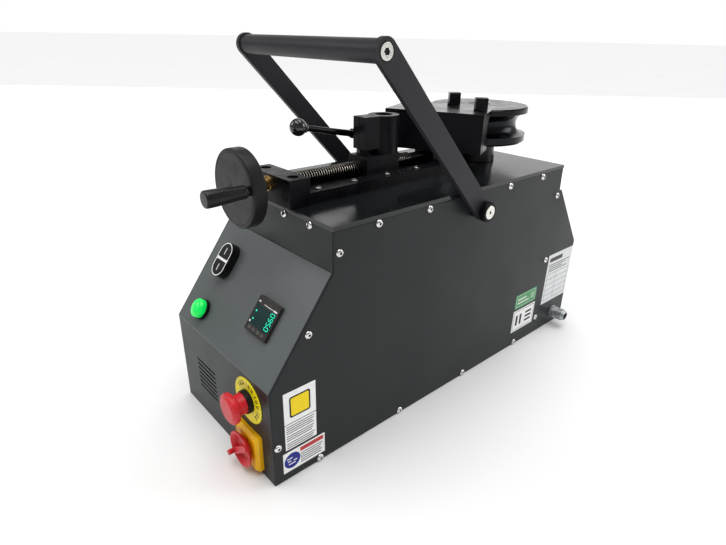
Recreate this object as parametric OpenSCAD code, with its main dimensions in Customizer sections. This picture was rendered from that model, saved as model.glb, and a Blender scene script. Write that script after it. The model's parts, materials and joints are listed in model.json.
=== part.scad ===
// Bench tube bender: powered bending head, hand-cranked feed carriage and folding carry handle.
// Axes: +X runs from the control end to the tail, +Z is up, and -Y is the operator's side.
// The origin is the centre of the base, on the bench.

/* [Case] */
// Length of the case from the front face to the tail
case_len = 685; // [670:5:720]
// Width over the two side panels
case_w = 250; // [246:1:258]
// Height to the top of the top plate
case_h = 326.5; // [324:0.5:330]
// Thickness of the side panels
side_t = 3; // [2:0.5:4]
// Thickness of the folded front, slope and rear sheets
sheet_t = 2.5; // [2:0.5:3]
// Thickness of the top plate
top_t = 5.6; // [5:0.2:6]
// Thickness of the base plate
base_t = 12; // [10:1:14]
// Height of the upright lower front
front_low_h = 142; // [138:1:146]
// How far the upright brow sits behind the front face
brow_x = 94.6; // [92:0.2:98]
// Height where the control slope meets the brow
brow_z = 269.8; // [266:0.2:272]
// Front distance of the upper rear strip
rear_x = 591.7; // [588:0.1:596]
// Height of the ledge where the tail slope starts
ledge_z = 281.4; // [279:0.2:284]
// Height where the tail slope meets the upright tail
tail_low_h = 168.3; // [164:0.1:172]

/* [Feed] */
// Height of the lead screw axis
screw_z = 351; // [350:0.5:352]
// Outside diameter of the lead screw
screw_d = 16; // [14:1:16]
// Radius of the handwheel rim
wheel_r = 48.5; // [44:0.5:52]
// Thickness of the handwheel rim
wheel_t = 18.5; // [16:0.5:20]
// Distance of the crank grip from the wheel axis
crank_r = 38.5; // [34:0.5:39]
// Front distance of the carriage's front face
carriage_x = 238.6; // [230:0.2:240]
// Length of the carriage along the feed
carriage_len = 62.4; // [60:0.2:66]
// Bore of the tool socket in the holder
socket_d = 25; // [20:1:28]

/* [Bending head] */
// Front distance of the head axis
head_x = 506; // [504:1:512]
// Outside radius of the bending die, which is also the bend radius
die_r = 80; // [79:0.5:81]
// Diameter of the groove for the tube
groove_d = 34; // [30:1:34]
// Height of the groove centre
groove_z = 392; // [391:0.5:393]
// Height of the die's top face
die_top_z = 418.5; // [418:0.5:421]
// Height of the die's lower face
die_low_z = 362; // [361:0.5:364]
// Direction that the clamp's flat back faces at rest, in degrees from +X
head_angle = 206; // [204:0.5:208]
// Length of the clamp block along the tube
clamp_len = 153; // [150:1:155]
// How far the clamp block reaches past the head axis along the tube
clamp_ahead = 34; // [32:1:36]
// Distance of the clamp's flat back from the head axis
clamp_n = 131.5; // [128:0.5:132]

/* [Carry handle] */
// Front distance of the handle pivot
pivot_x = 354; // [350:1:358]
// Height of the handle pivot
pivot_z = 297.6; // [297:0.1:299]
// Distance from the pivot to the grip axis
arm_len = 290; // [285:1:295]
// Forward lean of the arms from upright, in degrees
arm_lean = 43.9; // [40:0.1:46]
// Width of the flat arms
arm_w = 29; // [26:1:30]
// Diameter of the grip tube
grip_d = 25; // [22:1:27]

/* [Gears] */
// Gear module of the final drive
gear_m = 3; // [3:0.5:3]
// Teeth on the gear below the head
gear_teeth = 60; // [60:5:60]
// Teeth on the drive pinion
pinion_teeth = 15; // [15:1:15]

/* [Hidden] */
$fn = 48;

steel_dark = [0.22, 0.23, 0.25];
steel_bright = [0.80, 0.80, 0.78];
case_grey = [0.38, 0.40, 0.40];

// x measured back from the front face, as an x in the part's own frame
function fx(d) = d - case_len / 2;
function flip(points) = [for (p = points) [fx(p[0]), p[1]]];

screw_r = 2.5;
bench_hole_r = 5.5;
bench_x = 280;
bench_y = 90;
seam = 0.2;
inner_w = case_w - 2 * side_t - 2 * seam;
top_low_z = case_h - top_t;
slope_angle = atan2(brow_z - front_low_h, brow_x);
ledge_x = rear_x + 9;
post = 16;
rail_h = 20;
tail_wall_x = case_len - sheet_t;

// Side screws: a top row, a bottom row and single ones down the two ends
top_row_z = top_low_z - 5;
top_row = [for (i = [0 : 4]) [165 + i * 90.75, top_row_z]];
low_row = [for (i = [0 : 3]) [70 + i * 149.4, 5.8]];
end_points = [[104, 293.5], [57, 202.5], [6.8, 59.5], [585, 274.5], [585, 153.5], [584, 34.5]];
side_points = concat(top_row, low_row, end_points);
strip_y = [-81, -27, 27, 81];
strip_z = top_low_z - 4;

rail_x0 = 122.2;
rail_len = 280;
rail_half = 43;
keeper_t = 4;
rail_top_z = case_h + 15.5;
channel_floor = case_h + 4.5;
keeper_pitch = 60.3;
slot_half = 26.5;
neck_half = 20;
keeper_points = [for (s = [-1, 1], i = [0 : 4]) [144.6 + i * keeper_pitch, s * 32]];

block_x = 92;
block_len = 30;
block_half = 46;
block_h = 36;
journal_r = 6;
bush_r = 10;
thread_end = 338;
end_block_x = 376;
end_block_len = 26;
wheel_x = 42.5;
crank_tilt = 170.3;
crank_y = crank_r * cos(crank_tilt);
crank_z = screw_z + crank_r * sin(crank_tilt);

holder_x = 286;
holder_r = 22;
holder_top = 419;
carriage_top = 366;
nut_r = 11.5;
bolt_depth = 5.8;
tail_x = 240;
lever_x = 252;
lever_z = 391.5;
lever_y = 25;
lever_len = 99.5;
lever_rise = 10.6;
lever_bore = 5;

hub_r = 33;
shaft_r = 17.5;
bearing_r = 31;
hex_r = 21;
hex_top = 402;
spigot_r = 18;
boss_r = 34.8;
flange_screws = [for (i = [0 : 3]) [47.3, i * 90 - 57.4]];
groove_r = groove_d / 2;
plate_low_z = die_top_z - 8;
plate_n0 = 20;
clamp_tail = clamp_ahead - clamp_len;
bolt_points = [[93, 20.3], [40.4, -33.7], [60, -98]];
bolt_turns = [19, 22, 10];
bolt_r = 6;
flange_low_z = 308;
gear_z = 205;
gear_t = 20;
pinion_x = head_x - gear_m * (gear_teeth + pinion_teeth) / 2;
bridge_z = 150;

arm_y = 134.5;
arm_t = 7;
pivot_r = 8;
cap_r = 8.8;

button_y = 71;
button_v = 54;
half_pitch = 12.2;
stem_pitch = 7;
lamp_y = 73;
lamp_v = 130;
counter_y = -55;
counter_v = 89;
estop_y = -73;
estop_z = 105;
switch_y = -71.5;
switch_z = 34.5;
gland_x = 645;
gland_z = 27;

// ---------- placing and shaping helpers ----------

// An upright outline in X and Z, given a thickness along Y
module along_y(w) {
    rotate([90, 0, 0]) linear_extrude(w, center = true) children();
}

// Stands children on the control slope: local Z points out of it and local X points up it
module on_slope(y, v) {
    translate([fx(brow_x), 0, brow_z]) rotate([0, -slope_angle, 0]) translate([-v, y, 0]) children();
}

// Stands children on the front face: local Z points out of it and local X points up
module on_front(y, z) {
    translate([fx(0), y, z]) rotate([0, -90, 0]) children();
}

// Stands children on a side face, where side is -1 for the operator's side and 1 for the far one
module on_side(side, x, z, y = case_w / 2) {
    translate([fx(x), side * y, z]) rotate([side * -90, 0, 0]) children();
}

// A cylinder whose axis runs along +X from a front distance
module rod_x(x, y, z, r, len) {
    translate([fx(x), y, z]) rotate([0, 90, 0]) cylinder(r = r, h = len);
}

// Tapped holes into both sides at a list of front distances and heights
module tapped_holes(points) {
    for (p = points, s = [-1, 1]) on_side(s, p[0], p[1]) translate([0, 0, -15])
        cylinder(r = screw_r, h = 20);
}

// A block given by its front distance, length, half width and height range
module block_at(x, len, half_w, z0, z1) {
    translate([fx(x), -half_w, z0]) cube([len, 2 * half_w, z1 - z0]);
}

// Children in the bending head's own frame: local X is the clamp's normal, local Y the tube
module in_head() {
    translate([fx(head_x), 0, 0]) rotate([0, 0, head_angle]) children();
}

// A flat outline with rounded corners
module rounded(size, r) {
    square([size[0] - 2 * r, size[1]], center = true);
    square([size[0], size[1] - 2 * r], center = true);
    for (s = [-1, 1], t = [-1, 1])
        translate([s * (size[0] / 2 - r), t * (size[1] / 2 - r)]) circle(r);
}

// A stadium outline along local X
module stadium(len, w) {
    square([len - w, w], center = true);
    for (s = [-1, 1]) translate([s * (len - w) / 2, 0]) circle(w / 2);
}

// A button-head screw with a hexagon socket: its head stands on local Z = 0
module button_screw(r, head_r, head_h, len) {
    difference() {
        union() {
            rotate_extrude() polygon([
                [0, 0], [head_r, 0], [head_r, head_h * 0.25], [head_r * 0.86, head_h * 0.68],
                [head_r * 0.6, head_h * 0.93], [head_r * 0.3, head_h], [0, head_h]
            ]);
            translate([0, 0, -len]) cylinder(r = r, h = len + 0.5);
        }
        translate([0, 0, head_h * 0.3]) cylinder(r = head_r * 0.4, h = head_h, $fn = 6);
    }
}

// A cap screw whose head stands on local Z = 0
module cap_screw(r, head_r, head_h, len) {
    difference() {
        union() {
            cylinder(r = head_r, h = head_h);
            translate([0, 0, -len]) cylinder(r = r, h = len + 0.5);
        }
        translate([0, 0, head_h * 0.45]) cylinder(r = head_r * 0.55, h = head_h, $fn = 6);
    }
}

// ---------- case ----------

module base_plate() {
    color(steel_dark) difference() {
        block_at(sheet_t + seam, case_len - 2 * sheet_t - 2 * seam, inner_w / 2, 0, base_t);
        for (x = [-1, 1], y = [-1, 1]) translate([x * bench_x, y * bench_y, -1])
            cylinder(r = bench_hole_r, h = base_t + 2);
        tapped_holes(low_row);
    }
}

module case_outline() {
    polygon(flip([
        [0, 0], [case_len, 0], [case_len, tail_low_h], [ledge_x, ledge_z], [rear_x, ledge_z],
        [rear_x, top_low_z], [brow_x, top_low_z], [brow_x, brow_z], [0, front_low_h]
    ]));
}

module side_panel(side) {
    color(case_grey) difference() {
        translate([0, side * (case_w - side_t) / 2, 0]) along_y(side_t) case_outline();
        for (p = side_points) on_side(side, p[0], p[1]) cylinder(r = screw_r + 0.3, h = 10, center = true);
        on_side(side, pivot_x, pivot_z) cylinder(r = pivot_r + 0.5, h = 10, center = true);
        if (side < 0) on_side(side, gland_x, gland_z) cylinder(r = 8.2, h = 10, center = true);
    }
}

module side_panel_near() { side_panel(-1); }

module side_panel_far() { side_panel(1); }

module vent_slots() {
    for (i = [0 : 6]) translate([-i * 7.6, 0, 0]) linear_extrude(12, center = true)
        rotate(90) stadium(55, 3.4);
}

module front_lower_panel() {
    color(case_grey) difference() {
        block_at(0, sheet_t, inner_w / 2, 0, front_low_h - 1.6);
        on_front(47.5, 91) vent_slots();
        on_front(estop_y, estop_z) cylinder(r = 11.2, h = 12, center = true);
        on_front(switch_y, switch_z) cylinder(r = 11.2, h = 12, center = true);
    }
}

module control_panel() {
    low = front_low_h - 1.4;
    top = [brow_x - seam * cos(slope_angle), brow_z - seam * sin(slope_angle)];
    inner = [sheet_t * sin(slope_angle), -sheet_t * cos(slope_angle)];
    color(case_grey) difference() {
        along_y(inner_w) polygon(flip([[0, low], [0, front_low_h], top, top + inner, [sheet_t, low]]));
        on_slope(button_y, button_v) cylinder(r = 11.2, h = 20, center = true);
        on_slope(lamp_y, lamp_v) cylinder(r = 11.2, h = 20, center = true);
        on_slope(counter_y, counter_v) cube([45.4, 45.4, 20], center = true);
    }
}

module brow_strip() {
    color(case_grey) difference() {
        block_at(brow_x, sheet_t, inner_w / 2, brow_z + 0.3, top_low_z);
        for (y = strip_y) translate([0, y, strip_z]) rod_x(brow_x - 3, 0, 0, screw_r + 0.3, 10);
    }
}

module rear_strip() {
    color(case_grey) difference() {
        block_at(rear_x - sheet_t, sheet_t, inner_w / 2, ledge_z + 0.3, top_low_z);
        for (y = strip_y) translate([0, y, strip_z]) rod_x(rear_x - 6, 0, 0, screw_r + 0.3, 10);
    }
}

module rear_cover() {
    t = sheet_t;
    color(case_grey) along_y(inner_w) polygon(flip([
        [rear_x, ledge_z], [ledge_x, ledge_z], [case_len, tail_low_h], [case_len, 0],
        [tail_wall_x, 0], [tail_wall_x, tail_low_h - 1], [ledge_x - 1.2, ledge_z - t], [rear_x, ledge_z - t]
    ]));
}

module top_plate() {
    color(steel_bright) difference() {
        block_at(brow_x, rear_x - brow_x, case_w / 2, top_low_z, case_h);
        translate([fx(head_x), 0, top_low_z - 1]) cylinder(r = boss_r + 0.2, h = top_t + 2);
        for (p = keeper_points) translate([fx(p[0]), p[1], top_low_z - 1])
            cylinder(r = screw_r, h = top_t + 2);
        at_block_screws() translate([0, 0, top_low_z - 1]) cylinder(r = 4, h = top_t + 2);
        at_flange_screws() {
            translate([0, 0, case_h - 5.5]) cylinder(r1 = 6.1, r2 = 11.6, h = 5.5);
            translate([0, 0, top_low_z - 1]) cylinder(r = 6.3, h = top_t + 0.5);
        }
    }
}

module frame_rails() {
    len = rear_x - brow_x - 2 * sheet_t;
    color(steel_dark) difference() {
        for (s = [-1, 1]) translate([0, s * (inner_w - post) / 2, 0])
            block_at(brow_x + sheet_t, len, post / 2, top_low_z - rail_h, top_low_z);
        tapped_holes(top_row);
        for (s = [-1, 1]) on_side(s, pivot_x, pivot_z) translate([0, 0, -25])
            cylinder(r = pivot_r + 6.5, h = 40);
    }
}

// Upright and sloping bars that the ends of the side panels are screwed to, and two cross bars
module frame_posts() {
    rail_low = top_low_z - rail_h;
    post_x = sheet_t + seam;
    color(steel_dark) difference() {
        union() {
            for (s = [-1, 1]) translate([0, s * (inner_w - post) / 2, 0]) {
                block_at(post_x, post, post / 2, base_t, 120);
                block_at(brow_x + sheet_t, post, post / 2, base_t, rail_low);
                block_at(rear_x - sheet_t - post, post, post / 2, base_t, rail_low);
                along_y(post) polygon(flip([
                    [post_x, 118], [post_x + post, 118], [98, 225], [98, 260], [92, 260], [post_x, 138]
                ]));
            }
            for (x = [brow_x + sheet_t, rear_x - sheet_t - post])
                block_at(x, post, inner_w / 2 - post - seam, rail_low, top_low_z);
        }
        tapped_holes(end_points);
        for (y = strip_y) {
            translate([0, y, strip_z]) rod_x(brow_x, 0, 0, screw_r, 14);
            translate([0, y, strip_z]) rod_x(rear_x - 14, 0, 0, screw_r, 14);
        }
    }
}

module panel_screws() {
    color(steel_bright) {
        for (p = side_points, s = [-1, 1]) on_side(s, p[0], p[1]) panel_screw();
        for (y = strip_y) {
            translate([fx(brow_x), y, strip_z]) rotate([0, -90, 0]) panel_screw();
            translate([fx(rear_x), y, strip_z]) rotate([0, 90, 0]) panel_screw();
        }
    }
}

module panel_screw() { button_screw(screw_r, 5.2, 3, 10, $fn = 32); }

// ---------- feed ----------

module rail_base() {
    color(steel_dark) difference() {
        block_at(rail_x0, rail_len, rail_half, case_h, rail_top_z - keeper_t);
        block_at(rail_x0 - 1, rail_len + 2, slot_half, channel_floor, case_h + 40);
        for (p = keeper_points) translate([fx(p[0]), p[1], case_h - 1]) cylinder(r = screw_r, h = 30);
    }
}

module keeper_plates() {
    half = (rail_half - neck_half - 0.3) / 2;
    color(steel_dark) difference() {
        for (s = [-1, 1]) translate([0, s * (rail_half - half), 0])
            block_at(rail_x0, rail_len, half, rail_top_z - keeper_t, rail_top_z);
        for (p = keeper_points) translate([fx(p[0]), p[1], case_h]) cylinder(r = screw_r + 0.3, h = 30);
    }
}

module keeper_screws() {
    color(steel_bright) for (p = keeper_points) translate([fx(p[0]), p[1], rail_top_z])
        button_screw(screw_r, 4.6, 2.6, 20, $fn = 32);
}

module bearing_block() {
    color(steel_dark) difference() {
        block_at(block_x, block_len, block_half, case_h, case_h + block_h);
        rod_x(block_x - 1, 0, screw_z, bush_r, block_len + 2);
        at_block_screws() {
            translate([0, 0, case_h - 1]) cylinder(r = 4.3, h = block_h + 2);
            translate([0, 0, case_h + block_h - 10]) cylinder(r = 7, h = 12);
        }
    }
}

module at_block_screws() {
    for (s = [-1, 1]) translate([fx(block_x + block_len / 2), s * 31, 0]) children();
}

module at_flange_screws() {
    for (p = flange_screws) translate([fx(head_x), 0, 0]) rotate(p[1]) translate([p[0], 0, 0]) children();
}

// Two cap screws in the bearing block, and four countersunk ones round the bending head
module socket_screws() {
    color(steel_dark) {
        at_block_screws() translate([0, 0, case_h + block_h - 10])
            cap_screw(3.95, 6.5, 8, block_h - 10 + top_t);
        at_flange_screws() difference() {
            union() {
                translate([0, 0, case_h - 5.5]) cylinder(r1 = 6, r2 = 11.5, h = 5.5);
                translate([0, 0, flange_low_z]) cylinder(r = 5.95, h = case_h - 5 - flange_low_z);
            }
            translate([0, 0, case_h - 4]) cylinder(r = 4.6, h = 8, $fn = 6);
        }
    }
}

module thrust_bush() {
    color("goldenrod") difference() {
        union() {
            rod_x(block_x - 9, 0, screw_z, bush_r, block_len + 9);
            rod_x(block_x - 3, 0, screw_z, bush_r + 1.5, 3);
        }
        rod_x(block_x - 10, 0, screw_z, journal_r + 0.05, block_len + 12);
    }
}

module screw_end_block() {
    color(steel_dark) difference() {
        block_at(end_block_x, end_block_len, neck_half - 0.2, channel_floor, 357.5);
        rod_x(end_block_x - 1, 0, screw_z, journal_r + 0.05, end_block_len + 2);
    }
}

module lead_screw() {
    front = wheel_x + 4;
    thread_x = block_x + block_len + 0.5;
    collar_x = end_block_x + end_block_len + 0.3;
    color([0.66, 0.64, 0.58]) union() {
        rod_x(front, 0, screw_z, journal_r, collar_x - front + 1);
        rod_x(thread_x, 0, screw_z, screw_d / 2, thread_end - thread_x);
        rod_x(collar_x, 0, screw_z, journal_r + 2, 4);
    }
}

module handwheel() {
    r = wheel_r;
    t = wheel_t;
    color([0.13, 0.13, 0.14]) difference() {
        profile = [
            [0, 0], [r - 3, 0], [r - 1, 0.9], [r, 3], [r, t - 3], [r - 1, t - 0.9], [r - 3, t],
            [r - 9, t], [r - 11, t - 6], [20, t - 6], [17, t], [15, t + 18], [0, t + 18]
        ];
        translate([fx(wheel_x), 0, screw_z]) rotate([0, 90, 0]) rotate_extrude() polygon(profile);
        rod_x(wheel_x + 4, 0, screw_z, journal_r + 0.01, t + 30);
        rod_x(wheel_x - 1, crank_y, crank_z, 4, t + 30);
    }
}

module grip_spindle() {
    color(steel_bright) union() {
        rod_x(-5, crank_y, crank_z, 3.95, wheel_x + wheel_t - 2);
        rod_x(wheel_x - 4, crank_y, crank_z, 5.6, 4);
        rod_x(-7, crank_y, crank_z, 5.5, 3);
    }
}

module crank_grip() {
    len = wheel_x - 4.3 + 13;
    color([0.12, 0.12, 0.13]) difference() {
        translate([fx(-13), crank_y, crank_z]) rotate([0, 90, 0]) rotate_extrude() polygon([
            [0, 0], [8.9, 0], [9.8, 0.7], [10.2, 2], [10.1, 12], [9.2, 26], [8.4, 38],
            [8, 46], [7.6, len - 1], [6.8, len], [0, len]
        ]);
        rod_x(-4.5, crank_y, crank_z, 4.06, 60);
        rod_x(-7.4, crank_y, crank_z, 5.8, 3.8);
    }
}

module carriage_slide() {
    slot_top = rail_top_z - keeper_t;
    color([0.30, 0.31, 0.33]) difference() {
        union() {
            block_at(carriage_x, carriage_len, slot_half - 0.3, channel_floor + 0.1, slot_top - 0.2);
            block_at(carriage_x, carriage_len, neck_half, slot_top - 0.3, carriage_top);
        }
        rod_x(carriage_x + 4, 0, screw_z, nut_r, carriage_len);
        rod_x(carriage_x - 1, 0, screw_z, screw_d / 2 + 0.6, carriage_len + 2);
        at_carriage_bolt() translate([0, 0, -9]) cylinder(r = 4.5, h = 20);
    }
}

module feed_nut() {
    len = carriage_len - 25;
    color([0.60, 0.48, 0.26]) difference() {
        rod_x(carriage_x + 4, 0, screw_z, nut_r - 0.02, len);
        rod_x(carriage_x, 0, screw_z, screw_d / 2 + 0.05, len + 10);
        at_carriage_bolt() translate([0, 0, -bolt_depth - 0.2]) cylinder(r = 4.6, h = 20);
    }
}

module tool_holder() {
    tail_low = 375;
    color([0.28, 0.29, 0.32]) difference() {
        union() {
            translate([fx(holder_x), 0, carriage_top]) cylinder(r = holder_r, h = holder_top - carriage_top);
            block_at(tail_x, holder_x - tail_x, 12.5, tail_low, holder_top);
        }
        translate([fx(holder_x), 0, carriage_top + 6]) cylinder(r = socket_d / 2, h = 60);
        block_at(tail_x - 1, holder_x - tail_x, 0.5, tail_low - 1, holder_top + 1);
        translate([fx(lever_x), -10, lever_z]) rotate([-90, 0, 0]) cylinder(r = lever_bore, h = 40);
    }
}

module at_carriage_bolt() {
    translate([fx(250), 2, carriage_top]) children();
}

// A flanged hexagon bolt whose tip locks the feed nut in the carriage
module carriage_bolt() {
    color(steel_dark) at_carriage_bolt() union() {
        cylinder(r = 11.4, h = 2.2);
        rotate(15) cylinder(r = 9.8, h = 7.8, $fn = 6);
        translate([0, 0, 7]) cylinder(r = 7.4, h = 1.4);
        translate([0, 0, -bolt_depth]) cylinder(r = 4.48, h = bolt_depth + 1);
    }
}

module clamp_lever() {
    color(steel_bright) translate([fx(lever_x), 0, lever_z]) union() {
        translate([0, -9.5, 0]) rotate([-90, 0, 0]) cylinder(r = lever_bore - 0.05, h = 30);
        translate([0, 12.8, 0]) rotate([-90, 0, 0]) cylinder(r = 7, h = 17);
        translate([0, lever_y - 2, 0]) rotate([0, -90 + lever_rise, 0])
            cylinder(r1 = 4.8, r2 = 3.8, h = lever_len - 8);
    }
}

module lever_ball() {
    color([0.08, 0.08, 0.09]) translate([fx(lever_x), lever_y - 2, lever_z])
        rotate([0, -90 + lever_rise, 0]) difference() {
            union() {
                translate([0, 0, lever_len]) sphere(11.5);
                translate([0, 0, lever_len - 13.5]) cylinder(r1 = 5.6, r2 = 7, h = 4);
            }
            cylinder(r1 = 4.9, r2 = 3.9, h = lever_len - 7.9);
        }
}

// ---------- bending head ----------

// Upper bearing housing: its flange is under the top plate and its boss comes up through it
module head_flange() {
    low = 284;
    color([0.42, 0.42, 0.43]) difference() {
        translate([fx(head_x), 0, 0]) union() {
            translate([0, 0, flange_low_z]) cylinder(r = 62, h = top_low_z - flange_low_z);
            translate([0, 0, low]) cylinder(r = boss_r, h = case_h + 0.6 - low);
        }
        translate([fx(head_x), 0, low - 1]) cylinder(r = bearing_r, h = 33);
        translate([fx(head_x), 0, low - 1]) cylinder(r = 20, h = 80);
        at_flange_screws() translate([0, 0, flange_low_z - 1]) cylinder(r = 6, h = 20);
    }
}

module spindle_bearings() {
    color(steel_bright) for (z = [bridge_z, 300]) translate([fx(head_x), 0, z]) difference() {
        cylinder(r = bearing_r, h = 16);
        translate([0, 0, -1]) cylinder(r = shaft_r, h = 18);
    }
}

module bearing_bridge() {
    color(steel_dark) difference() {
        union() {
            block_at(head_x - 48, 96, 100, bridge_z, bridge_z + 14);
            for (s = [-1, 1]) translate([0, s * 92, 0])
                block_at(head_x - 48, 96, 8, base_t, bridge_z);
            translate([fx(head_x), 0, bridge_z - 6]) cylinder(r = 40, h = 26);
        }
        translate([fx(head_x), 0, bridge_z]) cylinder(r = bearing_r, h = 40);
        translate([fx(head_x), 0, bridge_z - 20]) cylinder(r = 20, h = 40);
    }
}

module spindle() {
    color([0.62, 0.62, 0.62]) translate([fx(head_x), 0, 0]) union() {
        translate([0, 0, bridge_z]) cylinder(r = shaft_r, h = case_h + 5 - bridge_z);
        translate([0, 0, case_h + 1.2]) cylinder(r = hub_r, h = die_low_z - case_h - 1.2);
        translate([0, 0, case_h + 1.2]) cylinder(r = hub_r + 1.5, h = 8);
        translate([0, 0, gear_z - 6]) cylinder(r = 24, h = 6);
        translate([0, 0, hex_top - 1]) cylinder(r = spigot_r, h = die_top_z + 0.6 - hex_top);
        rotate(head_angle) translate([0, 0, die_low_z - 1])
            cylinder(r = hex_r, h = hex_top - die_low_z + 1, $fn = 6);
    }
}

// The grooved wheel that the tube is bent round
module bend_die() {
    r = die_r;
    color(steel_bright) translate([fx(head_x), 0, 0]) difference() {
        rotate_extrude($fn = 160) difference() {
            polygon([
                [0, die_low_z], [r - 3, die_low_z], [r, die_low_z + 3], [r, die_top_z - 2],
                [r - 2, die_top_z], [0, die_top_z]
            ]);
            translate([r, groove_z]) circle(groove_r);
        }
        translate([0, 0, hex_top]) cylinder(r = spigot_r + 0.25, h = 30);
        rotate(head_angle) {
            translate([0, 0, die_low_z - 1])
                cylinder(r = hex_r + 0.05, h = hex_top + 1.2 - die_low_z, $fn = 6);
            translate([plate_n0 - 0.1, clamp_tail - 0.1, plate_low_z]) cube([120, clamp_len + 0.2, 20]);
            bolt_holes();
        }
    }
}

// Tapped holes for the square-head bolts, in the head's frame
module bolt_holes() {
    for (p = bolt_points) translate([p[0], p[1], plate_low_z - 1]) cylinder(r = bolt_r + 0.02, h = 30);
}

// The room that a straight tube takes, in the head's frame
module tube_channel() {
    translate([die_r, clamp_ahead + 1, groove_z]) rotate([90, 0, 0])
        cylinder(r = groove_r, h = clamp_len + 2);
}

// The outer jaw: a grooved block under a flush plate that is let into the die's top
module clamp_block() {
    color([0.36, 0.38, 0.42]) in_head() difference() {
        union() {
            translate([die_r, clamp_tail, die_low_z - 2])
                cube([clamp_n - die_r, clamp_len, plate_low_z + 3 - die_low_z]);
            translate([plate_n0, clamp_tail, plate_low_z])
                cube([clamp_n - plate_n0, clamp_len, die_top_z - plate_low_z]);
        }
        tube_channel();
        bolt_holes();
    }
}

// The straight inner jaw that carries the tube on from the die
module inner_jaw() {
    color([0.55, 0.56, 0.58]) in_head() difference() {
        translate([30, clamp_tail, die_low_z])
            cube([die_r - 30, -56 - clamp_tail, plate_low_z - die_low_z]);
        translate([0, 0, die_low_z - 1]) cylinder(r = die_r + 0.3, h = 80, $fn = 160);
        tube_channel();
        bolt_holes();
    }
}

module clamp_bolts() {
    head = 18;
    color([0.30, 0.28, 0.30]) in_head() for (i = [0 : 2])
        translate([bolt_points[i][0], bolt_points[i][1], die_top_z]) {
            rotate(bolt_turns[i]) translate([-head / 2, -head / 2, 3.5]) cube([head, head, 16]);
            cylinder(r = 10.5, h = 3.6);
            translate([0, 0, plate_low_z - 1 - die_top_z]) cylinder(r = bolt_r, h = 10);
        }
}

// ---------- drive ----------

// Point on an involute of base radius rb, unrolled by a degrees
function involute(rb, a) = [
    rb * (cos(a) + a * PI / 180 * sin(a)),
    rb * (sin(a) - a * PI / 180 * cos(a))
];
function turned(p, a) = [p[0] * cos(a) - p[1] * sin(a), p[0] * sin(a) + p[1] * cos(a)];

// Spur gear outline with involute flanks of 20 degrees pressure angle
module gear_outline(teeth, backlash) {
    pitch_r = gear_m * teeth / 2;
    base_r = pitch_r * cos(20);
    tip_r = pitch_r + 0.95 * gear_m;
    root_r = pitch_r - 1.3 * gear_m;
    start_r = max(base_r, root_r + 0.1);
    roll_tip = sqrt(tip_r * tip_r / (base_r * base_r) - 1) * 180 / PI;
    roll_low = sqrt(max(0, start_r * start_r / (base_r * base_r) - 1)) * 180 / PI;
    half = 90 / teeth + (tan(20) * 180 / PI - 20) - backlash / pitch_r * 90 / PI;
    steps = 5;
    rolls = [for (k = [0 : steps]) roll_low + (roll_tip - roll_low) * k / steps];
    flank = [for (a = rolls) turned(involute(base_r, a), -half)];
    polygon([for (i = [0 : teeth - 1]) each concat(
        [turned([root_r, 0], i * 360 / teeth - half)],
        [for (p = flank) turned(p, i * 360 / teeth)],
        [for (k = [steps : -1 : 0]) turned([flank[k][0], -flank[k][1]], i * 360 / teeth)],
        [turned([root_r, 0], i * 360 / teeth + half)]
    )]);
}

module drive_gear() {
    color([0.5, 0.5, 0.5]) translate([fx(head_x), 0, gear_z]) difference() {
        linear_extrude(gear_t) rotate(180) gear_outline(gear_teeth, 0.3);
        translate([0, 0, -1]) cylinder(r = shaft_r, h = gear_t + 2);
        for (i = [0 : 5]) rotate(i * 60 + 30) translate([56, 0, -1]) cylinder(r = 16, h = gear_t + 2);
    }
}

module drive_pinion() {
    color([0.5, 0.5, 0.5]) translate([fx(pinion_x), 0, gear_z]) union() {
        translate([0, 0, -2]) linear_extrude(gear_t + 4) rotate(180 / pinion_teeth)
            gear_outline(pinion_teeth, 0.3);
        translate([0, 0, -30]) cylinder(r = 12, h = gear_t + 40);
    }
}

module gearbox() {
    color([0.35, 0.37, 0.40]) difference() {
        union() {
            translate([fx(pinion_x), 0, 140]) cube([118, 130, 90], center = true);
            translate([fx(pinion_x), 0, 184]) cylinder(r = 34, h = 8);
            rod_x(pinion_x - 75, 0, 140, 50, 16);
        }
        translate([fx(pinion_x), 0, 172]) cylinder(r = 12.06, h = 30);
    }
}

module motor() {
    color([0.30, 0.33, 0.38]) union() {
        rod_x(142, 0, 140, 60, pinion_x - 75 - 142);
        rod_x(136, 0, 140, 62, 40);
        for (i = [0 : 11]) translate([fx(178), 0, 140]) rotate([i * 30, 0, 0])
            translate([0, -2, 58]) cube([100, 4, 6]);
        translate([fx(200), -38, 190]) cube([76, 76, 28]);
    }
}

module gearbox_stand() {
    color(steel_dark) union() {
        translate([fx(pinion_x), 0, 91]) cube([118, 130, 8], center = true);
        for (s = [-1, 1]) translate([0, s * 60, 0]) block_at(pinion_x - 59, 118, 5, base_t, 87);
    }
}

module power_supply() {
    color([0.7, 0.7, 0.72]) translate([fx(596), 10, base_t]) cube([60, 90, 80]);
}

module contactor() {
    color([0.85, 0.85, 0.82]) translate([fx(596), -70, base_t]) union() {
        cube([50, 62, 60]);
        translate([6, 10, 59]) cube([38, 42, 16]);
    }
}

// ---------- controls ----------

module counter() {
    color([0.08, 0.08, 0.09]) on_slope(counter_y, counter_v) union() {
        linear_extrude(5) rounded([48, 48], 1.5);
        translate([0, 0, -60]) linear_extrude(61) square(45, center = true);
    }
}

module button_housing() {
    color([0.10, 0.10, 0.11]) on_slope(button_y, button_v) difference() {
        union() {
            linear_extrude(13) stadium(51, 30);
            translate([0, 0, -40]) cylinder(r = 11, h = 41);
        }
        for (s = [-1, 1]) {
            translate([s * half_pitch, 0, 5]) linear_extrude(10) half_button(s, 0.3);
            translate([s * stem_pitch, 0, -18]) cylinder(r = 2.56, h = 30);
        }
    }
}

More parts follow.
